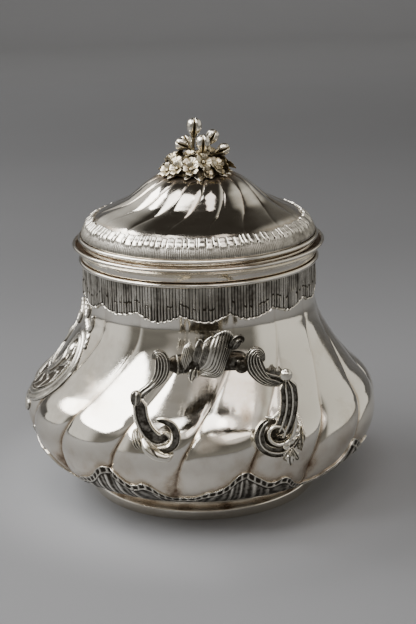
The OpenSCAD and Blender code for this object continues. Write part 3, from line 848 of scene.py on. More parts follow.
def leaf_grid(form, top, under, cavity, under_cavity, **closing):
    """Adds a leaf, given its two faces as grids [along, across, xyz]."""
    loop = np.concatenate([top, under[:, ::-1]], axis=1)
    both = np.concatenate([cavity, np.full(cavity.shape, under_cavity)], axis=1)
    form.grid(np.swapaxes(loop, 0, 1)[::-1], both.T[::-1], wrap_u=True, **closing)


def leaf(form, points, edge_lobes, veins, thick, cup, lobe_depth, out=(1, 0, 0), count=70):
    """A cast leaf along [x, y, z, half width] points, with a lobed edge and long veins."""
    line = curve(points, count)
    side, front = path_frames(line[:, :3], out)
    across = 41
    u, s = np.meshgrid(np.linspace(0, 1, count), np.linspace(-1, 1, across), indexing="ij")
    scallop = np.abs(np.sin(math.pi * (u * edge_lobes + 0.15 * np.sign(s))))
    lobes = 1 - lobe_depth * (1 - scallop) * smooth(0.35, 1, np.abs(s))
    w = line[:, 3][:, None] * lobes
    vein = np.abs(np.cos(math.pi * 0.5 * veins * s))
    ridge = 0.5 * thick * (vein**0.6 - 0.6) * (1 - np.abs(s) ** 6)
    bowl = -cup * w * s**2
    lift = bowl + ridge + 0.35 * thick * bump(s, 0, 0.08)
    flat = line[:, None, :3] + side[:, None, :] * (w * s)[..., None]
    top = flat + front[:, None, :] * lift[..., None]
    ends = 0.4 + 0.6 * smooth(0, 0.15, u) * smooth(1, 0.9, u)
    body = thick * (1 - 0.75 * np.abs(s) ** 3) * ends
    under = flat + front[:, None, :] * (bowl - body)[..., None]
    cavity = np.clip((1 - vein) ** 1.2 * 1.2 * (1 - np.abs(s) ** 4), 0, 1)
    leaf_grid(form, top, under, cavity, under_cavity=0.6, caps=True)


def volute(centre, start, turns, radii, x, half_width, half_thickness):
    """Bar points that wind clockwise round a [y, z] centre in the handle's plane, from radius to radius."""
    points = []
    for t in np.linspace(0, 1, int(12 * turns)):
        a = math.radians(start) - TURN * turns * t
        r = radii[0] * (radii[1] / radii[0]) ** t
        thin = 1 - 0.35 * t
        y, z = centre[0] + r * math.cos(a), centre[1] + r * math.sin(a)
        points.append((x + 0.8 * t, y, z, half_width * thin, half_thickness * thin))
    return points


def slim_arm(form):
    """Slender arm: a thin stem, a knotted knuckle and a broad channel that hooks into a round end."""
    stem = [
        (85, -23, 77.5, 2.0, 1.6), (85, -26, 74.5, 1.7, 1.7), (84.6, -29.5, 71.8, 1.7, 1.9),
        (84, -31, 69, 2.2, 2),
    ]
    grooved_bar(form, stem, ridges=3, groove_depth=0.3, count=50)
    arm = [
        (83.8, -30.8, 69.5, 2.6, 2.2), (83.2, -30.4, 65.5, 2.9, 2.4), (82.2, -29.9, 61, 2.9, 2.5),
        (80.4, -28.4, 56, 2.9, 2.5), (78.8, -26.2, 52, 2.9, 2.4), (77.6, -23.6, 49.7, 2.8, 2.2),
        (77.4, -20.6, 50.6, 2.4, 2.1), (77.6, -19.4, 52, 2.1, 2.1),
    ]
    grooved_bar(form, arm, ridges=2, groove_depth=0.72, count=120, blunt=(False, True))
    lip = [
        (83.6, -32.6, 67, 0.6, 0.9), (82.2, -32.3, 61, 0.8, 1.3), (80, -30.7, 55, 0.8, 1.3),
        (78.2, -28.2, 50.6, 0.7, 1.1),
    ]
    grooved_bar(form, lip, ridges=1, count=50)
    knuckle = [
        (85, -31.2, 73.2, 1.2, 1.2), (85.4, -31.9, 71.2, 2.1, 2.3), (85.2, -32.1, 69, 2.0, 2.2),
        (84.2, -32.2, 66.8, 0.9, 1),
    ]
    grooved_bar(form, knuckle, ridges=3, groove_depth=0.35, count=34, blunt=(True, True))


def stout_arm(form):
    """Thick arm with deep channels, a ball at its knuckle and a volute round a dark dish below."""
    top = [
        (84.6, 16.5, 78.5, 2.2, 2.0), (84.8, 20, 76.8, 2.8, 2.4), (84.8, 24, 75.4, 3.0, 2.6),
        (84.2, 26.8, 73, 3.2, 2.4),
    ]
    grooved_bar(form, top, ridges=4, groove_depth=0.4, count=44, tone=0.5)
    for y, z, r in ((21.2, 79.2, 1.9), (23.8, 78.6, 1.7)):
        roll = [(85.2, y, z + r, r, 1.6), (85.4, y + 0.3, z - 2.5 * r, r, 1.6)]
        grooved_bar(form, roll, ridges=1, count=16, tone=0.75)
    arm = [
        (84.2, 26.9, 74.8, 3.4, 2.3), (83.4, 28, 70.5, 3.5, 2.4), (82, 28.6, 65.5, 3.6, 2.5),
        (80.2, 28.5, 60, 3.6, 2.5), (78.6, 27.6, 54.8, 3.6, 2.4), (77.4, 26.2, 50.4, 3.4, 2.0),
        (76.6, 24, 47.8, 2.4, 1.4),
    ]
    grooved_bar(form, arm, ridges=4, groove_depth=0.7, count=130)
    ball = [(85.9, 26.6, 79.4, 2.6, 2.4), (86.2, 26.7, 74.2, 2.8, 2.6)]
    grooved_bar(form, ball, ridges=1, count=24, blunt=(True, True))
    dish = [(76, 22.4, 51.6, 3.6, 1.4), (76, 25.4, 47.2, 3.8, 1.5)]
    grooved_bar(form, dish, ridges=2, groove_depth=0.5, count=26, blunt=(True, True), tone=0.9)
    ridge_in = [(79.2, 31, 58.5, 0.6, 0.9), (78.4, 31.6, 54.5, 0.9, 1.6), (77.8, 31.1, 50.2, 1.0, 1.9)]
    winding = volute(
        (24.7, 49.4), start=-18, turns=1.12, radii=(5.6, 2.2), x=77.4, half_width=1.05, half_thickness=2.1,
    )
    grooved_bar(form, ridge_in + winding, ridges=1, count=120)
    spur = [
        (77.2, 19.6, 56.4, 0.3, 0.6), (78, 22.6, 56.2, 0.7, 1.1), (79, 24.8, 58.6, 0.7, 1.2),
        (80.4, 25.3, 62, 0.4, 0.8),
    ]
    grooved_bar(form, spur, ridges=1, count=30)


def bridge(form):
    """Smooth crosspiece, painted dark as shade behind the crest leaf, with a ribbed leaf scroll that stands
    up at each end and small bracts.
    """
    bar = [
        (84, -20.5, 81.5, 3.2, 2.6), (84, -15, 82.6, 3.9, 3.0), (84, -4, 83, 3.9, 3.0),
        (84, 8, 83, 4.0, 3.0), (84, 13.5, 81.5, 3.2, 2.6),
    ]
    # painted shade: the crosspiece is made dark all over, as it lies in shade behind the crest leaf and
    # scrolls
    grooved_bar(form, bar, ridges=1, count=60, tone=0.92)
    slim_scroll = [
        (84.8, -27.5, 73.2, 1.2, 1.3), (85, -24, 76, 2.0, 1.7), (85.4, -21.8, 79.5, 2.7, 2.0),
        (85.8, -21.1, 83.4, 2.9, 2.1), (85.8, -21.6, 86.6, 2.5, 2.0), (85.8, -23, 88, 1.7, 1.7),
        (85.8, -24.4, 86.9, 1.0, 1.2), (85.8, -24, 85.6, 0.6, 0.8),
    ]
    grooved_bar(form, slim_scroll, ridges=6, groove_depth=0.45, count=90)
    stout_scroll = [
        (84.6, 25.4, 72.8, 1.0, 1.1), (85, 21.4, 73.8, 1.9, 1.7), (85.4, 17.6, 76.4, 2.9, 2.1),
        (85.9, 14.8, 80.6, 3.6, 2.3), (85.9, 14, 84.4, 3.3, 2.2), (85.8, 15.2, 86.8, 2.4, 2.0),
        (85.8, 17, 86, 1.6, 1.6), (85.9, 17.6, 83.8, 1.1, 1.2), (86, 16.8, 82.6, 0.6, 0.8),
    ]
    grooved_bar(form, stout_scroll, ridges=7, groove_depth=0.45, count=110)
    bract = [
        (85.4, -13.6, 79, 0.9), (86.9, -12.8, 82, 1.9), (87.4, -11.8, 86, 2.4), (86.8, -10.8, 89.8, 2.0),
        (85.6, -10.2, 92, 0.5),
    ]
    leaf(form, bract, edge_lobes=2, veins=7, thick=0.9, cup=0.4, lobe_depth=0.1)
    collar = [(84.4, -15.6, 87, 0.5, 1.2), (86.4, -15.2, 83, 0.7, 1.6), (84.8, -15.4, 78.8, 0.5, 1.2)]
    grooved_bar(form, collar, ridges=1, count=26, tone=0.5)
    roll = [(85.2, 9.2, 85, 2.6, 2.4), (86, 9.4, 81.4, 3.0, 2.8), (85.2, 9.6, 78.6, 2.2, 2.2)]
    grooved_bar(form, roll, ridges=1, count=30, tone=0.85, blunt=(True, True))


# Petals of the stout foot: [way along, lift, half width, half thickness]
PETAL_ROWS = [(-2.8, 2, 0.8, 1), (-0.5, 3.4, 1.4, 1.8), (1.8, 2.6, 0.8, 1.1)]

# The crest leaf's long lines from its base to its top edge, left to right, as [x, y, z] points
CREST_RAILS = [
    [(85.6, -8.2, 81.6), (87, -9.4, 86), (87.2, -8.6, 90.4), (86, -7, 93.6)],
    [(85.8, -8, 81), (87.8, -6.8, 86), (88, -5.6, 90), (86.4, -4.6, 93)],
    [(86, -7.6, 80.2), (88.6, -4.6, 84.4), (89.2, -3, 90), (87, -0.4, 95.6)],
    [(86, -7.2, 78.8), (89.2, -1.4, 81), (89.8, 1.4, 88), (87.6, 4, 96.8)],
    [(85.8, -6.6, 77.8), (87.4, 0.6, 77.6), (87.6, 4, 84.4), (86.4, 9, 94.6)],
]


def crest_leaf(form):
    """The broad acanthus leaf over the middle of the bridge: three lobes that overlap like a fan."""
    rows, columns, thick = 90, 150, 1.4
    rails = np.stack([curve(rail, rows) for rail in CREST_RAILS])
    u = np.linspace(0, 1, rows)[:, None]
    v = np.interp(np.linspace(0, 4, columns), [0, 1, 2, 4], [0, 1, 2, 3])[None, :]
    fan = np.stack([spline_at(rails[:, i], np.linspace(0, 4, columns)) for i in range(rows)])
    lobe = np.where(v >= 3, 1, v % 1)
    tip = 0.1 * (1 - np.sin(math.pi * np.clip(lobe + 0.12, 0, 1)) ** 0.6) * smooth(0.5, 1, u)
    grown = smooth(0.12, 0.5, u)
    raised_edge = np.exp(-lobe / 0.07) + 0.8 * bump(u, 1, 0.035)
    fine = np.abs(np.sin(math.pi * lobe * np.where(v > 2, 8, 4)))
    veined = smooth(0.08, 0.2, lobe) * (0.35 + 0.65 * smooth(1.8, 2.3, v))
    lift = grown * (1.1 * (1 - lobe) ** 2 + 0.5 * raised_edge) + 0.4 * veined * fine - 3.2 * tip
    fan = fan - (fan - fan[:1]) * tip[..., None]
    top = fan + np.stack([lift, np.zeros_like(lift), np.zeros_like(lift)], axis=-1)
    rim = np.minimum(smooth(0, 0.12, u), smooth(1, 0.95, u)) * smooth(0, 0.1, v) * smooth(3, 2.9, v)
    under = fan - np.array([thick, 0, 0]) * (0.25 + 0.75 * rim)[..., None]
    face = 0.62 + 0.1 * u
    bronze = (v > 2) * smooth(1.05, 0.45, u + 0.25 * (v - 2))
    dark_veins = face + 0.35 * veined * (1 - fine)
    cavity = np.clip(dark_veins - 1.1 * raised_edge - 0.6 * veined * fine * bronze, 0, 1)
    leaf_grid(form, top, under, cavity, under_cavity=0.8, strip=True)
    curl = [
        (87, 5.4, 88.6, 1.6, 1.4), (88.4, 7, 92, 2.2, 1.6), (88.8, 8.8, 93.4, 1.8, 1.4),
        (88.4, 10, 91.8, 0.8, 0.9),
    ]
    grooved_bar(form, curl, ridges=3, groove_depth=0.4, count=40, tone=0.7)
    bract = [
        (85.6, -8.2, 82.6, 0.9), (87, -9, 80.6, 2.2), (87.4, -9.8, 78.2, 2.4), (86.2, -10.2, 76.2, 0.9),
    ]
    leaf(form, bract, edge_lobes=1, veins=3, thick=1.2, cup=0.5, lobe_depth=0.1)


def on_girth(y, z, lift):
    """A point over the bowl's crowns at a place across the handle side."""
    r = float(crown_r(z)) + lift
    return math.sqrt(max(r * r - y * y, 1)), y, z


def on_side(*rows):
    """Turns [y, z, lift, sizes...] rows into the points of a bar or leaf that lies on the bowl."""
    return [(*on_girth(y, z, lift), *sizes) for y, z, lift, *sizes in rows]


def slim_foot(form):
    """Open C-scroll with a bean-shaped petal and a small ribbed shell, fixed on the bowl."""
    outward = (0.95, -0.31, 0)
    outline = [
        (-23.8, 56.8, 0.7), (-20.6, 56, 1.3), (-17.6, 53.8, 1.7), (-16.2, 50, 1.9), (-16.8, 46.4, 1.9),
        (-19, 44.2, 1.7), (-22, 43.6, 1.4), (-24, 44.6, 0.8),
    ]
    scroll_line = [(SCROLL_X, y, z, w, 1.8) for y, z, w in outline]
    grooved_bar(form, scroll_line, ridges=2, groove_depth=0.7, count=120)
    base = on_side((-20.5, 52, -0.8, 3.4, 1.4), (-21.5, 46.5, -0.8, 4.6, 1.8))
    grooved_bar(form, base, ridges=1, count=24, out=outward, tone=0.9)
    petal = on_side(
        (-28.8, 47.6, 1.2, 1.6, 2), (-27.8, 44.8, 2.0, 2.3, 2.8), (-25, 42.6, 2.2, 2.5, 3),
        (-21.2, 41.2, 1.6, 2.1, 2.5), (-17.6, 42, 0.8, 1.2, 1.6),
    )
    grooved_bar(form, petal, ridges=1, count=60, out=outward, blunt=(True, False))
    cut = on_side((-27.4, 46.4, 3.9, 0.4, 0.6), (-25.6, 44.2, 4.8, 0.5, 0.6), (-23.6, 41.8, 4.3, 0.4, 0.6))
    grooved_bar(form, cut, ridges=1, count=24, out=outward, tone=0.95)
    shell = on_side(
        (-31.4, 50.4, 0.8, 0.9, 1), (-31.8, 48, 1.6, 2.0, 2.2), (-31.2, 45.4, 1.6, 2.2, 2.3),
        (-30, 43, 0.8, 1.1, 1.3),
    )
    grooved_bar(form, shell, ridges=5, groove_depth=0.4, count=44, out=(0.9, -0.44, 0))


def stout_foot(form):
    """Double C-scroll with bright petals, a ribbed fringe and a three-lobed leaf, fixed on the bowl."""
    outward = (0.93, 0.37, 0)
    outline = [
        (21.5, 54.8, 0.9, 2), (18.6, 52, 1.7, 2), (17.2, 47.8, 2.1, 2), (18.2, 43.6, 2.3, 2),
        (21.2, 41, 2.3, 2), (25.2, 40, 2.2, 1.8), (29, 40.6, 1.8, 1.5), (32, 42.4, 1.2, 1.2),
        (34, 45, 0.6, 0.8),
    ]
    bar = [(SCROLL_X - 0.35 * max(y - 25, 0), y, z, w, h) for y, z, w, h in outline]
    grooved_bar(form, bar, ridges=3, groove_depth=0.66, count=140)
    base = on_side((23, 52, -0.8, 3.6, 1.4), (25, 45.5, -0.8, 6.0, 1.8), (28, 41, -0.8, 3.5, 1.4))
    grooved_bar(form, base, ridges=1, count=30, out=outward, tone=0.9)
    fringe = on_side(
        (32.4, 54.6, 0.8, 0.8), (34.8, 50, 2.0, 2.0), (35.6, 44.6, 2.2, 2.3), (34.8, 38.8, 1.0, 0.7),
    )
    leaf(form, fringe, edge_lobes=9, veins=3, thick=1.6, cup=0.4, out=outward, lobe_depth=0.45, count=110)
    for y, z, heading in ((28.4, 43.8, 66), (30.8, 45.4, 58), (32.8, 47.8, 50)):
        c, s = math.cos(math.radians(heading)), math.sin(math.radians(heading))
        rows = [(y + r * c, z + r * s, lift, w, h) for r, lift, w, h in PETAL_ROWS]
        grooved_bar(form, on_side(*rows), ridges=1, count=20, out=outward)
    root_y, root_z = 30.4, 40.6
    for tip_y, tip_z, wide in ((27.4, 37.4, 2.0), (30.4, 33.4, 2.4), (33.6, 35.2, 2.0)):
        middle = (0.4 * root_y + 0.6 * tip_y, 0.4 * root_z + 0.6 * tip_z)
        blade = on_side((root_y, root_z + 0.4, 2.0, 1.4), (*middle, 2.6, wide), (tip_y, tip_z, 1.5, 0.6))
        leaf(form, blade, edge_lobes=3, veins=3, thick=1.4, cup=0.25, out=outward, lobe_depth=0.25, count=40)


def make_handles():
    """The same six castings on both sides; the left handle is the right one turned half round."""
    makers = (slim_arm, stout_arm, bridge, crest_leaf, slim_foot, stout_foot)
    for side_name, turned in (("right", False), ("left", True)):
        for maker in makers:
            node_name = f"handle_{side_name}_{maker.__name__}"
            form = Form()
            maker(form)
            form.make(f"{node_name}_casting", "cast_silver", [node_name], "bowl", turned=turned)


# ---- cartouche: relief raised from the sheet along scrolls ----


def stroke(grid_y, grid_z, points, count=120):
    """Distance from each grid point to a tapering stroke, its half width there, and the way along."""
    line = curve(points, count)
    best = np.full(grid_y.shape, 1e9)
    width = np.zeros(grid_y.shape)
    way = np.zeros(grid_y.shape)
    for (y, z, w), passed in zip(line, lengths(line[:, :2])):
        d = np.hypot(grid_y - y, grid_z - z)
        nearer = d < best
        best = np.where(nearer, d, best)
        width = np.where(nearer, w, width)
        way = np.where(nearer, passed, way)
    return best, width, way


def cartouche_relief(y, z):
    """Height and crevice value of the ornament; y is along the girth and z is height, both in mm."""
    right = np.abs(y)
    band = [
        (-2, 45.4, 2.3), (9, 46.4, 2.5), (17, 50, 2.7), (23, 56.4, 2.8), (25.8, 63.4, 2.7),
        (24.6, 70, 2.4), (20.2, 74, 2.2), (14.8, 73.8, 1.9), (11, 70.4, 1.7), (10.8, 66.2, 1.5),
        (12.6, 63.6, 1.0),
    ]
    inner = [(-2, 55.6, 1.2), (4, 56.4, 1.2), (8.4, 59.4, 1.3), (11, 62.6, 1.2)]
    hook = [(14.6, 60.8, 0.6), (18.4, 62.4, 0.9), (20.6, 66, 0.9), (20, 69.4, 0.6)]
    net = [(-1, 50.8, 3.0), (7, 51.6, 3.0), (13.4, 55.2, 3.0), (17.6, 59.8, 2.4), (20.2, 63.6, 1.3)]
    sprays = [
        [(28.2, 71.6, 1.1), (26.2, 76, 1.9), (21.4, 79.4, 1.7), (16.6, 82.6, 1.5), (13, 87.4, 0.8)],
        [(24, 76.6, 0.9), (27.6, 79.8, 1.3), (27.4, 84, 0.7)],
        [(17.6, 81, 0.9), (19.8, 84.6, 1.2), (18.6, 88, 0.7)],
        [(2, 76.6, 0.9), (4.6, 80, 1.5), (2, 83.4, 1.4), (0.4, 86.6, 0.6)],
        [(0, 44.4, 1.6), (0.6, 40.4, 1.9), (0, 36.4, 0.7)],
        [(5, 44.6, 1.0), (7.4, 41.2, 1.4), (5, 38.2, 0.7)],
    ]
    height = np.zeros(y.shape)
    cavity = np.zeros(y.shape)
    d, w, way = stroke(right, z, net)
    net_cell, slant = 6.6, 1.4
    in_net = d < w
    cell = np.abs(2 * (((way + slant * d) / net_cell) % 1) - 1)
    wall = np.maximum(bump(cell, 1, 0.2), bump(d, w, 0.5))
    height = np.where(in_net, 0.12 + 0.75 * wall, height)
    cavity = np.where(in_net, 0.95 * (1 - wall), cavity)
    for points, channel_depth, tall in [(band, 0.75, 1.5), (inner, 0.2, 1.2), (hook, 0.0, 1.1)] + [
        (points, 0.0, 1.25) for points in sprays
    ]:
        d, w, way = stroke(right, z, points)
        w = np.maximum(w, 0.3)
        inside = np.clip(1 - (d / w) ** 2, 0, 1)
        channel = channel_depth * bump(d, 0, 0.38 * w)
        notched = 1 - 0.16 * (channel_depth == 0) * (1 + np.sin(way * 3.1)) * smooth(0.2, 0.9, d / w)
        raised = tall * inside**0.5 * (1 - channel) * notched
        higher = raised > height
        height = np.maximum(height, raised)
        cavity = np.where(higher & (inside > 0.12), 1.4 * channel * (1 - 0.5 * inside), cavity)
        cavity = np.maximum(cavity, 0.95 * bump(d, w + 0.2, 0.4) * (height < 0.9))
    boss_y, boss_z, boss_r = 16.4, 68.4, 2.7
    d = np.hypot(right - boss_y, z - boss_z)
    ball = 0.8 * boss_r * np.sqrt(np.clip(1 - (d / boss_r) ** 2, 0, 1))
    height = np.where(d < boss_r, np.maximum(height, 0.3 + ball), height)
    shaded = np.maximum(cavity, 0.9 * bump(d, boss_r + 0.15, 0.3) * (height > 0.02))
    cavity = np.where(d < 0.85 * boss_r, 0, shaded)
    return height, np.clip(cavity, 0, 1)


def make_cartouche():
    """The relief, worked out on a grid over the -Y side, without what lies sunk under the sheet."""
    half_width, low_z, high_z = 33.0, 31.5, 88.6
    girth_r, sunk, least = 66.0, -0.35, 0.02
    across, up = np.linspace(-half_width, half_width, 330), np.linspace(low_z, high_z, 270)
    y, z = np.meshgrid(across, up, indexing="ij")
    height, cavity = cartouche_relief(y, z)
    surface = on_bowl(-TURN / 4 + y / girth_r, z, np.where(height > least, height, sunk))
    whole, form = Form(), Form()
    whole.grid(surface, cavity)
    form.points, form.cavity, form.faces, form.count = drop_sunk(whole, height.reshape(-1) > least)
    form.make("cartouche_relief", "chased_silver", ["cartouche"], "bowl")


def drop_sunk(form, raised):
    """Keeps only faces that touch the raised ornament, and closes the solid under the sheet."""
    points, cavity, faces = np.vstack(form.points), np.concatenate(form.cavity), np.vstack(form.faces)
    faces = faces[raised[faces].any(axis=1)]
    names, packed = np.unique(faces, return_inverse=True)
    packed = packed.reshape(faces.shape)
    top, value = points[names], cavity[names]
    depth = 0.6
    low = top.copy()
    low[:, :2] *= 1 - depth / np.linalg.norm(top[:, :2], axis=1, keepdims=True)
    n = len(names)
    sides = edge_walls(packed, n)
    return ([top, low], [value, np.ones(n)], [packed, packed[:, ::-1] + n, sides], 2 * n)


def edge_walls(faces, n):
    """Quads that join the open edges of a sheet of faces to its copy n points later."""
    a = np.concatenate([faces[:, k] for k in range(4)])
    b = np.concatenate([faces[:, (k + 1) % 4] for k in range(4)])
    keys = np.minimum(a, b) * (n + 1) + np.maximum(a, b)
    _, first, counts = np.unique(keys, return_index=True, return_counts=True)
    open_edges = first[counts == 1]
    a, b = a[open_edges], b[open_edges]
    return np.stack([b, a, a + n, b + n], axis=1)


# ---- finial ----


def turn_to(points, base, lean, heading):
    """Stands points that were made round +Z at the origin on a base, leaning towards a heading."""
    c, s = math.cos(lean), math.sin(lean)
    x, y, z = points[..., 0], points[..., 1], points[..., 2]
    leaned = np.stack([c * x + s * z, y, -s * x + c * z], axis=-1)
    ch, sh = math.cos(heading), math.sin(heading)
    turned = np.stack([ch * leaned[..., 0] - sh * leaned[..., 1], sh * leaned[..., 0] + ch * leaned[..., 1],
                       leaned[..., 2]], axis=-1)
    return turned + np.asarray(base, float)


def flower(form, radius, base, lean, heading, draw):
    """A small flower: five notched petals that curl, a raised eye and a closed back."""
    around, rings, eye_size = 60, 14, 0.27
    a = ring_angles(around)[:, None]
    rho = np.linspace(0.02, 1, rings)[None, :]
    petals = np.abs(np.cos(2.5 * a + draw.uniform(0, TURN)))
    edge = 0.58 + 0.42 * petals**0.55 - 0.1 * bump(petals, 1, 0.05)
    r = radius * rho * edge * draw.uniform(0.9, 1.08)
    curl = draw.uniform(0.25, 0.5)
    z = radius * (0.42 * rho**1.3 - curl * rho**4 * petals * 0.5) + 0.14 * radius * petals * rho
    z = z - 0.1 * radius * bump(petals, 0, 0.35) * rho
    eye = 0.26 * radius * np.sqrt(np.clip(1 - (rho / eye_size) ** 2, 0, 1))
    stalk = polar(a, np.array([[0.55, 0.3]]), np.array([[-0.9, -1.3]]))
    under = polar(a, r, z - 0.34 * (1 - 0.7 * rho**3))
    top = polar(a, r, z + eye)
    loop = np.concatenate([stalk[:, ::-1], under[:, 3:], top[:, ::-1]], axis=1)
    top_cavity = np.clip(0.2 + 0.75 * bump(petals, 0, 0.22) * rho + 0.95 * bump(rho, 0.31, 0.07), 0, 1)
    hidden = [np.ones((around, 2)), np.full((around, rings - 3), 0.6)]
    cavity = np.concatenate([*hidden, top_cavity[:, ::-1]], axis=1)
    form.grid(turn_to(loop, base, lean, heading), cavity, wrap_u=True, caps=True)


def small_leaf(form, base, lean, heading, length, width):
    """A little pointed leaf with a middle vein that spreads from under the flowers."""
    path = curve([
        (0, 0, 0, 0.3 * width), (0.35 * length, 0, 0.25, width), (0.7 * length, 0, 0.1, 0.75 * width),
        (length, 0, -0.35, 0.12),
    ], 22)
    s = np.linspace(-1, 1, 15)[None, :]
    out, w = path[:, 0][:, None], path[:, 3][:, None]
    z = path[:, 2][:, None] - 0.3 * w * s**2 + 0.12 * np.abs(np.cos(math.pi * 2 * s))
    top = np.stack(np.broadcast_arrays(out, w * s, z), axis=-1)
    under = top - np.array([0, 0, 0.35])
    top, under = (turn_to(points, base, lean, heading) for points in (top, under))
    cavity = np.broadcast_to(0.7 * bump(s, 0, 0.2), z.shape)
    leaf_grid(form, top, under, cavity, under_cavity=0.8, caps=True)


mound_line = curve(
    [(MOUND_R, 141.9), (MOUND_R - 0.4, 142.8), (10.6, 145.4), (7.2, 148.2), (4.4, 150.2), (0.3, 151)], 40
)


def mound_z(r):
    """Height of the mound's surface at a radius."""
    return float(np.interp(-r, -mound_line[1:, 0], mound_line[1:, 1]))


def make_mound():
    """The lumpy cast mound under the bouquet."""
    around = 120
    outline = np.vstack([[(0.3, CROWN_Z + 0.05), (7, CROWN_Z + 0.05)], mound_line])
    points = lathe_points(outline, around)
    angle = ring_angles(around)[:, None]
    lumps = 1 + 0.045 * np.sin(11 * angle + 0.5 * outline[None, :, 1]) * smooth(1, 5, outline[None, :, 0])
    points[..., :2] *= np.minimum(lumps, 1.0)[..., None]
    make_piece("finial_mound_casting", "gilt_tinged_silver", "finial_mound", "lid", points, 0.85, caps=True)


def make_flowers():
    """Three rings of flowers over a ring of small leaves."""
    draw = np.random.default_rng(41)
    form = Form()
    for count, ring_r, size, lean in FLOWER_RINGS:
        shift = draw.uniform(0, TURN)
        for i in range(count):
            heading = shift + TURN * (i + draw.uniform(-0.18, 0.18)) / count
            r = ring_r + draw.uniform(-0.8, 0.6)
            base = (r * math.cos(heading), r * math.sin(heading), mound_z(r) + draw.uniform(0.8, 1.6))
            flower(form, size * draw.uniform(0.85, 1.05), base, math.radians(lean + draw.uniform(-24, 22)),
                   heading + draw.uniform(-0.5, 0.5), draw)
    leaves, leaf_ring_r = 15, MOUND_R - 2.6
    for i in range(leaves):
        heading = TURN * (i + draw.uniform(-0.3, 0.3)) / leaves
        base = (leaf_ring_r * math.cos(heading), leaf_ring_r * math.sin(heading), 143.2)
        lean = math.radians(draw.uniform(12, 26))
        small_leaf(form, base, lean, heading, draw.uniform(4.8, 7.4), draw.uniform(1.6, 2.4))
    form.make("finial_flowers_casting", "gilt_tinged_silver", ["finial_flowers"], "lid")


# Rings of flowers: how many, ring radius, flower radius, lean outwards in degrees
FLOWER_RINGS = [(13, 13.6, 3.7, 60), (10, 10.4, 3.6, 44), (6, 6.2, 3.4, 24)]

# Each bud: where it sits on its stem, lean, heading, stem length, bud length, radius
BUDS = [
    ((0, -1, TOP_Z - 9.2), 4, 100, 6, 9.2, 3.3), ((1, -2.9, 152), 62, 270, 2, 6.8, 2.7),
    ((4.6, 2.4, 149.8), 6, 20, 1.5, 8.6, 3.1), ((-1, 4.6, 152.4), 32, 90, 3, 8.0, 2.9),
    ((1.5, 7.8, 149.4), 66, 90, 2, 7.2, 2.6), ((-4.6, -2.4, 150), 42, 205, 2, 7.8, 2.7),
    ((-4.6, 2.6, 150), 42, 150, 2, 7.8, 2.7),
]


def bud(form, length, radius, base, lean, heading, facing):
    """A plump closed bud, widest near its top, of two petals that part in a cleft facing one way."""
    a = ring_angles(72)[:, None]
    t = np.linspace(0, 1, 40)[None, :]
    swell = 2 * np.clip(t, 0.01, 0.998) ** 1.35 - 1
    full = np.sqrt(1 - np.abs(swell) ** 2.3) * (0.6 + 0.4 * smooth(0, 0.6, t))
    off = np.abs((a - facing + math.pi) % TURN - math.pi)
    cleft = bump(off, 0, 0.1 + 0.34 * (1 - t) ** 1.5) * smooth(0.03, 0.2, t)
    lap = 0.08 * smooth(0, 1.1, (a - facing) % math.pi)
    calyx = 0.12 * bump(t, 0.08, 0.06)
    r = radius * full * (0.93 + lap - 0.5 * cleft + calyx)
    top_notch = 0.07 * length * smooth(0.8, 1, t) * bump(np.sin(a - facing), 0, 0.3)
    cavity = np.clip(1.3 * cleft * (1.15 - 0.6 * t) + 0.9 * smooth(0.22, 0.0, t), 0, 1)
    points = polar(a, r, length * t - top_notch)
    form.grid(turn_to(points, base, lean, heading), cavity, wrap_u=True, caps=True)


def bud_stem(form, length, base, lean, heading):
    """A waisted, slightly five-sided stem that ends just inside its bud."""
    stem_r, overlap = 0.75, 0.8
    t = np.linspace(0, 1, 9)[None, :]
    a = ring_angles(20)[:, None]
    r = stem_r * (1 - 0.25 * np.sin(math.pi * t)) * (1 + 0.08 * np.cos(5 * a))
    points = polar(a, r, -length + (length + overlap) * t)
    form.grid(turn_to(points, base, lean, heading), 0.6, wrap_u=True, caps=True)


def make_buds():
    buds, stems = Form(), Form()
    for base, lean, heading, stem_length, length, radius in BUDS:
        lean, heading = math.radians(lean), math.radians(heading)
        bud(buds, length, radius, base, lean, heading, facing=-heading)
        bud_stem(stems, stem_length, base, lean, heading)
    buds.make("finial_buds_casting", "gilt_tinged_silver", ["finial_buds"], "lid")
    stems.make("finial_stems_casting", "gilt_tinged_silver", ["finial_stems"], "lid")


def make_stud():
    """The threaded stud under the crown."""
    (_, _, low_z), (stud_r, _, top_z) = cad("finial_stud")
    pitch, thread_depth = 0.7, 0.3
    a = ring_angles(48)[:, None]
    z = np.linspace(low_z, top_z, 200)[None, :]
    saw = np.abs(((z / pitch - a / TURN) % 1) * 2 - 1)
    r = stud_r - thread_depth * saw * smooth(0, 0.5, z - low_z)
    points = polar(a, r, z)
    cavity = 0.7 * saw
    make_piece("finial_stud_threaded", "polished_silver", "finial_stud", "lid", points, cavity, 40, caps=True)
    return stud_r


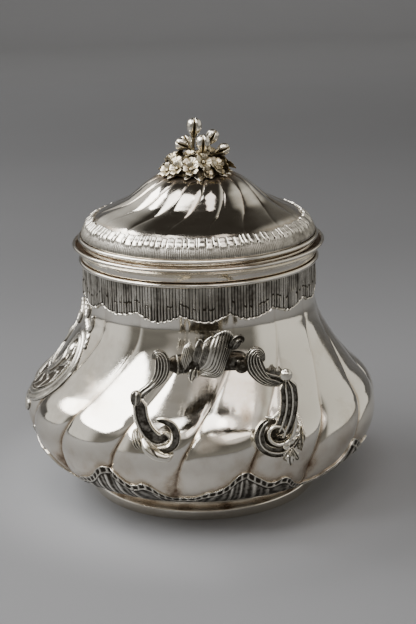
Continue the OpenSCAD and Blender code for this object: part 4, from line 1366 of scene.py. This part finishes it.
def make_fastening():
    """Stud, washer and chamfered nut under the crown."""
    stud_r = make_stud()
    (_, _, low_z), (washer_r, _, top_z) = cad("finial_washer")
    hole_r = stud_r + 0.15
    outline = rounded([(hole_r, low_z), (washer_r, low_z), (washer_r, top_z), (hole_r, top_z)], 0.18)
    make_ring("finial_washer_turned", "finial_washer", "lid", outline, 0.2, around=96, hard=45)
    (_, _, low_z), (corner_r, _, top_z) = cad("finial_nut")
    around, bore_r, sixth = 96, stud_r + 0.05, TURN / 6
    a = ring_angles(around)[:, None]
    flat = corner_r * math.cos(sixth / 2) / np.cos(a % sixth - sixth / 2)
    chamfer = np.array([(0, 0.86), (0.15, 0.9), (0.5, 1)])
    level = np.concatenate([low_z + chamfer[:, 0], top_z - chamfer[::-1, 0]])
    limit = corner_r * np.concatenate([chamfer[:, 1], chamfer[::-1, 1]])
    outside = polar(a, np.minimum(flat, limit[None, :]), level[None, :])
    bore = lathe_points([(bore_r, top_z), (bore_r, low_z)], around)
    points = np.concatenate([outside, bore], axis=1)
    make_piece("finial_nut_hexagon", "polished_silver", "finial_nut", "lid", points, 0.15, 30, wrap_v=True)


# ---- stage, lights and camera ----


PAPER = (0.188, 0.192, 0.2)


def paper_material():
    """Grey paper with painted light and shade: painted shade dims it behind the bowl, painted light makes it
    lighter on the far backdrop and in a pool close round the foot.
    """
    material = bpy.data.materials.new("pale_paper")
    add = node_maker(material)
    place = add("ShaderNodeTexCoord").outputs["Object"]
    forward = add("ShaderNodeSeparateXYZ", {"Vector": place}).outputs["X"]
    behind = product_of(add, forward, -1.0)
    from_bowl = add("ShaderNodeVectorMath", {0: place}, operation="LENGTH").outputs["Value"]
    # painted shade: the paper's colour dims with distance behind the bowl
    dim = ranged(add, behind, start=(-0.05, 0.45), end=(1.0, 0.62), soft=True)
    # painted light: the far backdrop's colour is made lighter
    backdrop = ranged(add, behind, start=(0.8, 1.9), end=(1.0, 2.3), soft=True)
    # painted light: a lighter pool round the foot that offsets the shade under the bowl
    painted_light_pool = ranged(add, from_bowl, start=(0.065, 0.12), end=(1.6, 1.0), soft=True)
    mottle = ranged(add, noise(add, place, scale=9, detail=4), end=(0.97, 1.03))
    tone = product_of(add, dim, backdrop, painted_light_pool, mottle)
    colour = add("ShaderNodeVectorMath", {0: PAPER, "Scale": tone}, operation="SCALE")
    shader = add("ShaderNodeBsdfPrincipled", {"Base Color": colour.outputs[0], "Roughness": 0.8})
    add("ShaderNodeOutputMaterial", {"Surface": shader.outputs[0]})
    return material


def make_stage():
    """A pale sweep: a floor that curves up into a low backdrop far behind; sizes in metres."""
    front, bend_start, rise, top, half_width = 3.0, 1.9, 0.5, 0.75, 3.5
    turns = np.linspace(0, math.pi / 2, 16)
    bend = [(bend_start + rise * math.sin(t), rise - rise * math.cos(t)) for t in turns]
    outline = [(-front, 0), *bend, (bend_start + rise, top)]
    across = np.linspace(-half_width, half_width, 9)
    points = [(-distance, side, height) for distance, height in outline for side in across]
    row = len(across)
    corners = [i * row + j for i in range(len(outline) - 1) for j in range(row - 1)]
    faces = [(a, a + 1, a + 1 + row, a + row) for a in corners]
    mesh = bpy.data.meshes.new("sweep")
    mesh.from_pydata(points, [], faces)
    mesh.polygons.foreach_set("use_smooth", [True] * len(mesh.polygons))
    mesh.materials.append(paper_material())
    sweep = bpy.data.objects.new("sweep", mesh)
    bpy.context.scene.collection.objects.link(sweep)


CAMERA_TURN = math.radians(-4.5)
FORWARD = Vector((math.cos(CAMERA_TURN), math.sin(CAMERA_TURN), 0))
RIGHTWARD = Vector((-math.sin(CAMERA_TURN), math.cos(CAMERA_TURN), 0))


def heading_of(azimuth, elevation):
    """Unit direction from the bowl; azimuth is counted to the right of the camera, in degrees."""
    turn, rise = math.radians(azimuth), math.radians(elevation)
    level = FORWARD * math.cos(turn) + RIGHTWARD * math.sin(turn)
    return level * math.cos(rise) + Vector((0, 0, math.sin(rise)))


def make_light(name, azimuth, elevation, distance, size, power, colour):
    """A rectangular softbox that faces the bowl."""
    direction = heading_of(azimuth, elevation)
    data = bpy.data.lights.new(name, "AREA")
    data.shape = "RECTANGLE"
    data.size, data.size_y = size
    data.energy = power
    data.color = colour
    light = bpy.data.objects.new(name, data)
    light.location = Vector(LIGHTS_AIM) + direction * distance
    light.rotation_euler = direction.to_track_quat("Z", "Y").to_euler()
    bpy.context.scene.collection.objects.link(light)


LIGHTS_AIM = (0, 0, 0.07)

# Softboxes: name, azimuth, elevation, distance, [width, height], watts, colour
LIGHTS = [
    ("key_softbox", -90, 45, 1.2, (1.4, 0.6), 23, (1.0, 0.99, 0.98)),
    ("warm_softbox", 32, 50, 1.5, (0.8, 0.5), 2.2, (1.0, 0.92, 0.87)),
    ("top_softbox", -46, 74, 1.3, (0.95, 0.44), 6.6, (1.0, 0.985, 0.97)),
    ("top_warm_softbox", 48, 76, 1.3, (0.6, 0.42), 1.8, (1.0, 0.92, 0.88)),
]

# Lit walls and ceiling of the studio: azimuth, elevation, half width, softness, strength, colour
GLOWS = [
    (-116, 4, 46, 10, 0.68, (1.0, 0.985, 0.95)),
    (103, 8, 46, 10, 0.62, (1.0, 0.97, 0.89)),
    (32, 54, 24, 5, 0.72, (1.0, 0.93, 0.885)),
    (-34, 46, 22, 10, 0.26, (1.0, 0.97, 0.92)),
    (-14, 26, 15, 7, 0.17, (1.0, 0.94, 0.89)),
]


def make_world():
    """The studio round the bowl: dark above, dim near the floor, with softly lit walls."""
    world = bpy.data.worlds.new("studio")
    add = node_maker(world)
    place = add("ShaderNodeTexCoord").outputs["Generated"]
    height = add("ShaderNodeSeparateXYZ", {"Vector": place}).outputs["Z"]
    ramp = add("ShaderNodeValToRGB", {"Fac": height})
    low, high = ramp.color_ramp.elements
    low.position, low.color = 0.0, (0.2, 0.192, 0.175, 1)
    high.position, high.color = 0.8, (0.034, 0.03, 0.025, 1)
    light = ramp.outputs["Color"]
    for azimuth, elevation, half_width, softness, strength, colour in GLOWS:
        middle = {0: place, 1: heading_of(azimuth, elevation)}
        nearness = add("ShaderNodeVectorMath", middle, operation="DOT_PRODUCT").outputs["Value"]
        edge = math.cos(math.radians(half_width + softness))
        full = math.cos(math.radians(max(half_width - softness, 0)))
        patch = ranged(add, nearness, start=(edge, full), end=(0, strength), soft=True)
        tinted = add("ShaderNodeVectorMath", {0: colour, "Scale": patch}, operation="SCALE").outputs[0]
        light = add("ShaderNodeVectorMath", {0: light, 1: tinted}, operation="ADD").outputs[0]
    background = add("ShaderNodeBackground", {"Color": light, "Strength": 1.0})
    add("ShaderNodeOutputWorld", {"Surface": background.outputs[0]})
    bpy.context.scene.world = world


def make_camera():
    """The view of someone who stands on the handle's side, a little above the lid; sizes in metres."""
    elevation, roll = math.radians(16.9), math.radians(1.25)
    distance, side_shift, aim_height = 0.616, 0.0036, 0.0777
    target = RIGHTWARD * side_shift + Vector((0, 0, aim_height))
    position = target + (FORWARD * math.cos(elevation) + Vector((0, 0, math.sin(elevation)))) * distance
    look = (target - position).normalized()
    level_up = RIGHTWARD.cross(look)
    right = RIGHTWARD * math.cos(roll) - level_up * math.sin(roll)
    up = RIGHTWARD * math.sin(roll) + level_up * math.cos(roll)
    data = bpy.data.cameras.new("camera")
    data.lens, data.sensor_width = 79.4, 36
    data.clip_start, data.clip_end = 0.01, 50
    camera = bpy.data.objects.new("camera", data)
    camera.matrix_world = Matrix((
        (right.x, up.x, -look.x, position.x),
        (right.y, up.y, -look.y, position.y),
        (right.z, up.z, -look.z, position.z),
        (0, 0, 0, 1),
    ))
    bpy.context.scene.collection.objects.link(camera)
    bpy.context.scene.camera = camera


for make in (
    make_bowl_body, make_foot_ring, make_lower_border, make_neck_band, make_rim, make_cartouche, make_handles,
    make_lid_dome, make_lid_border, make_lid_edge, make_mound, make_flowers, make_buds, make_fastening,
    make_stage, make_world, make_camera,
):
    make()
for softbox in LIGHTS:
    make_light(*softbox)
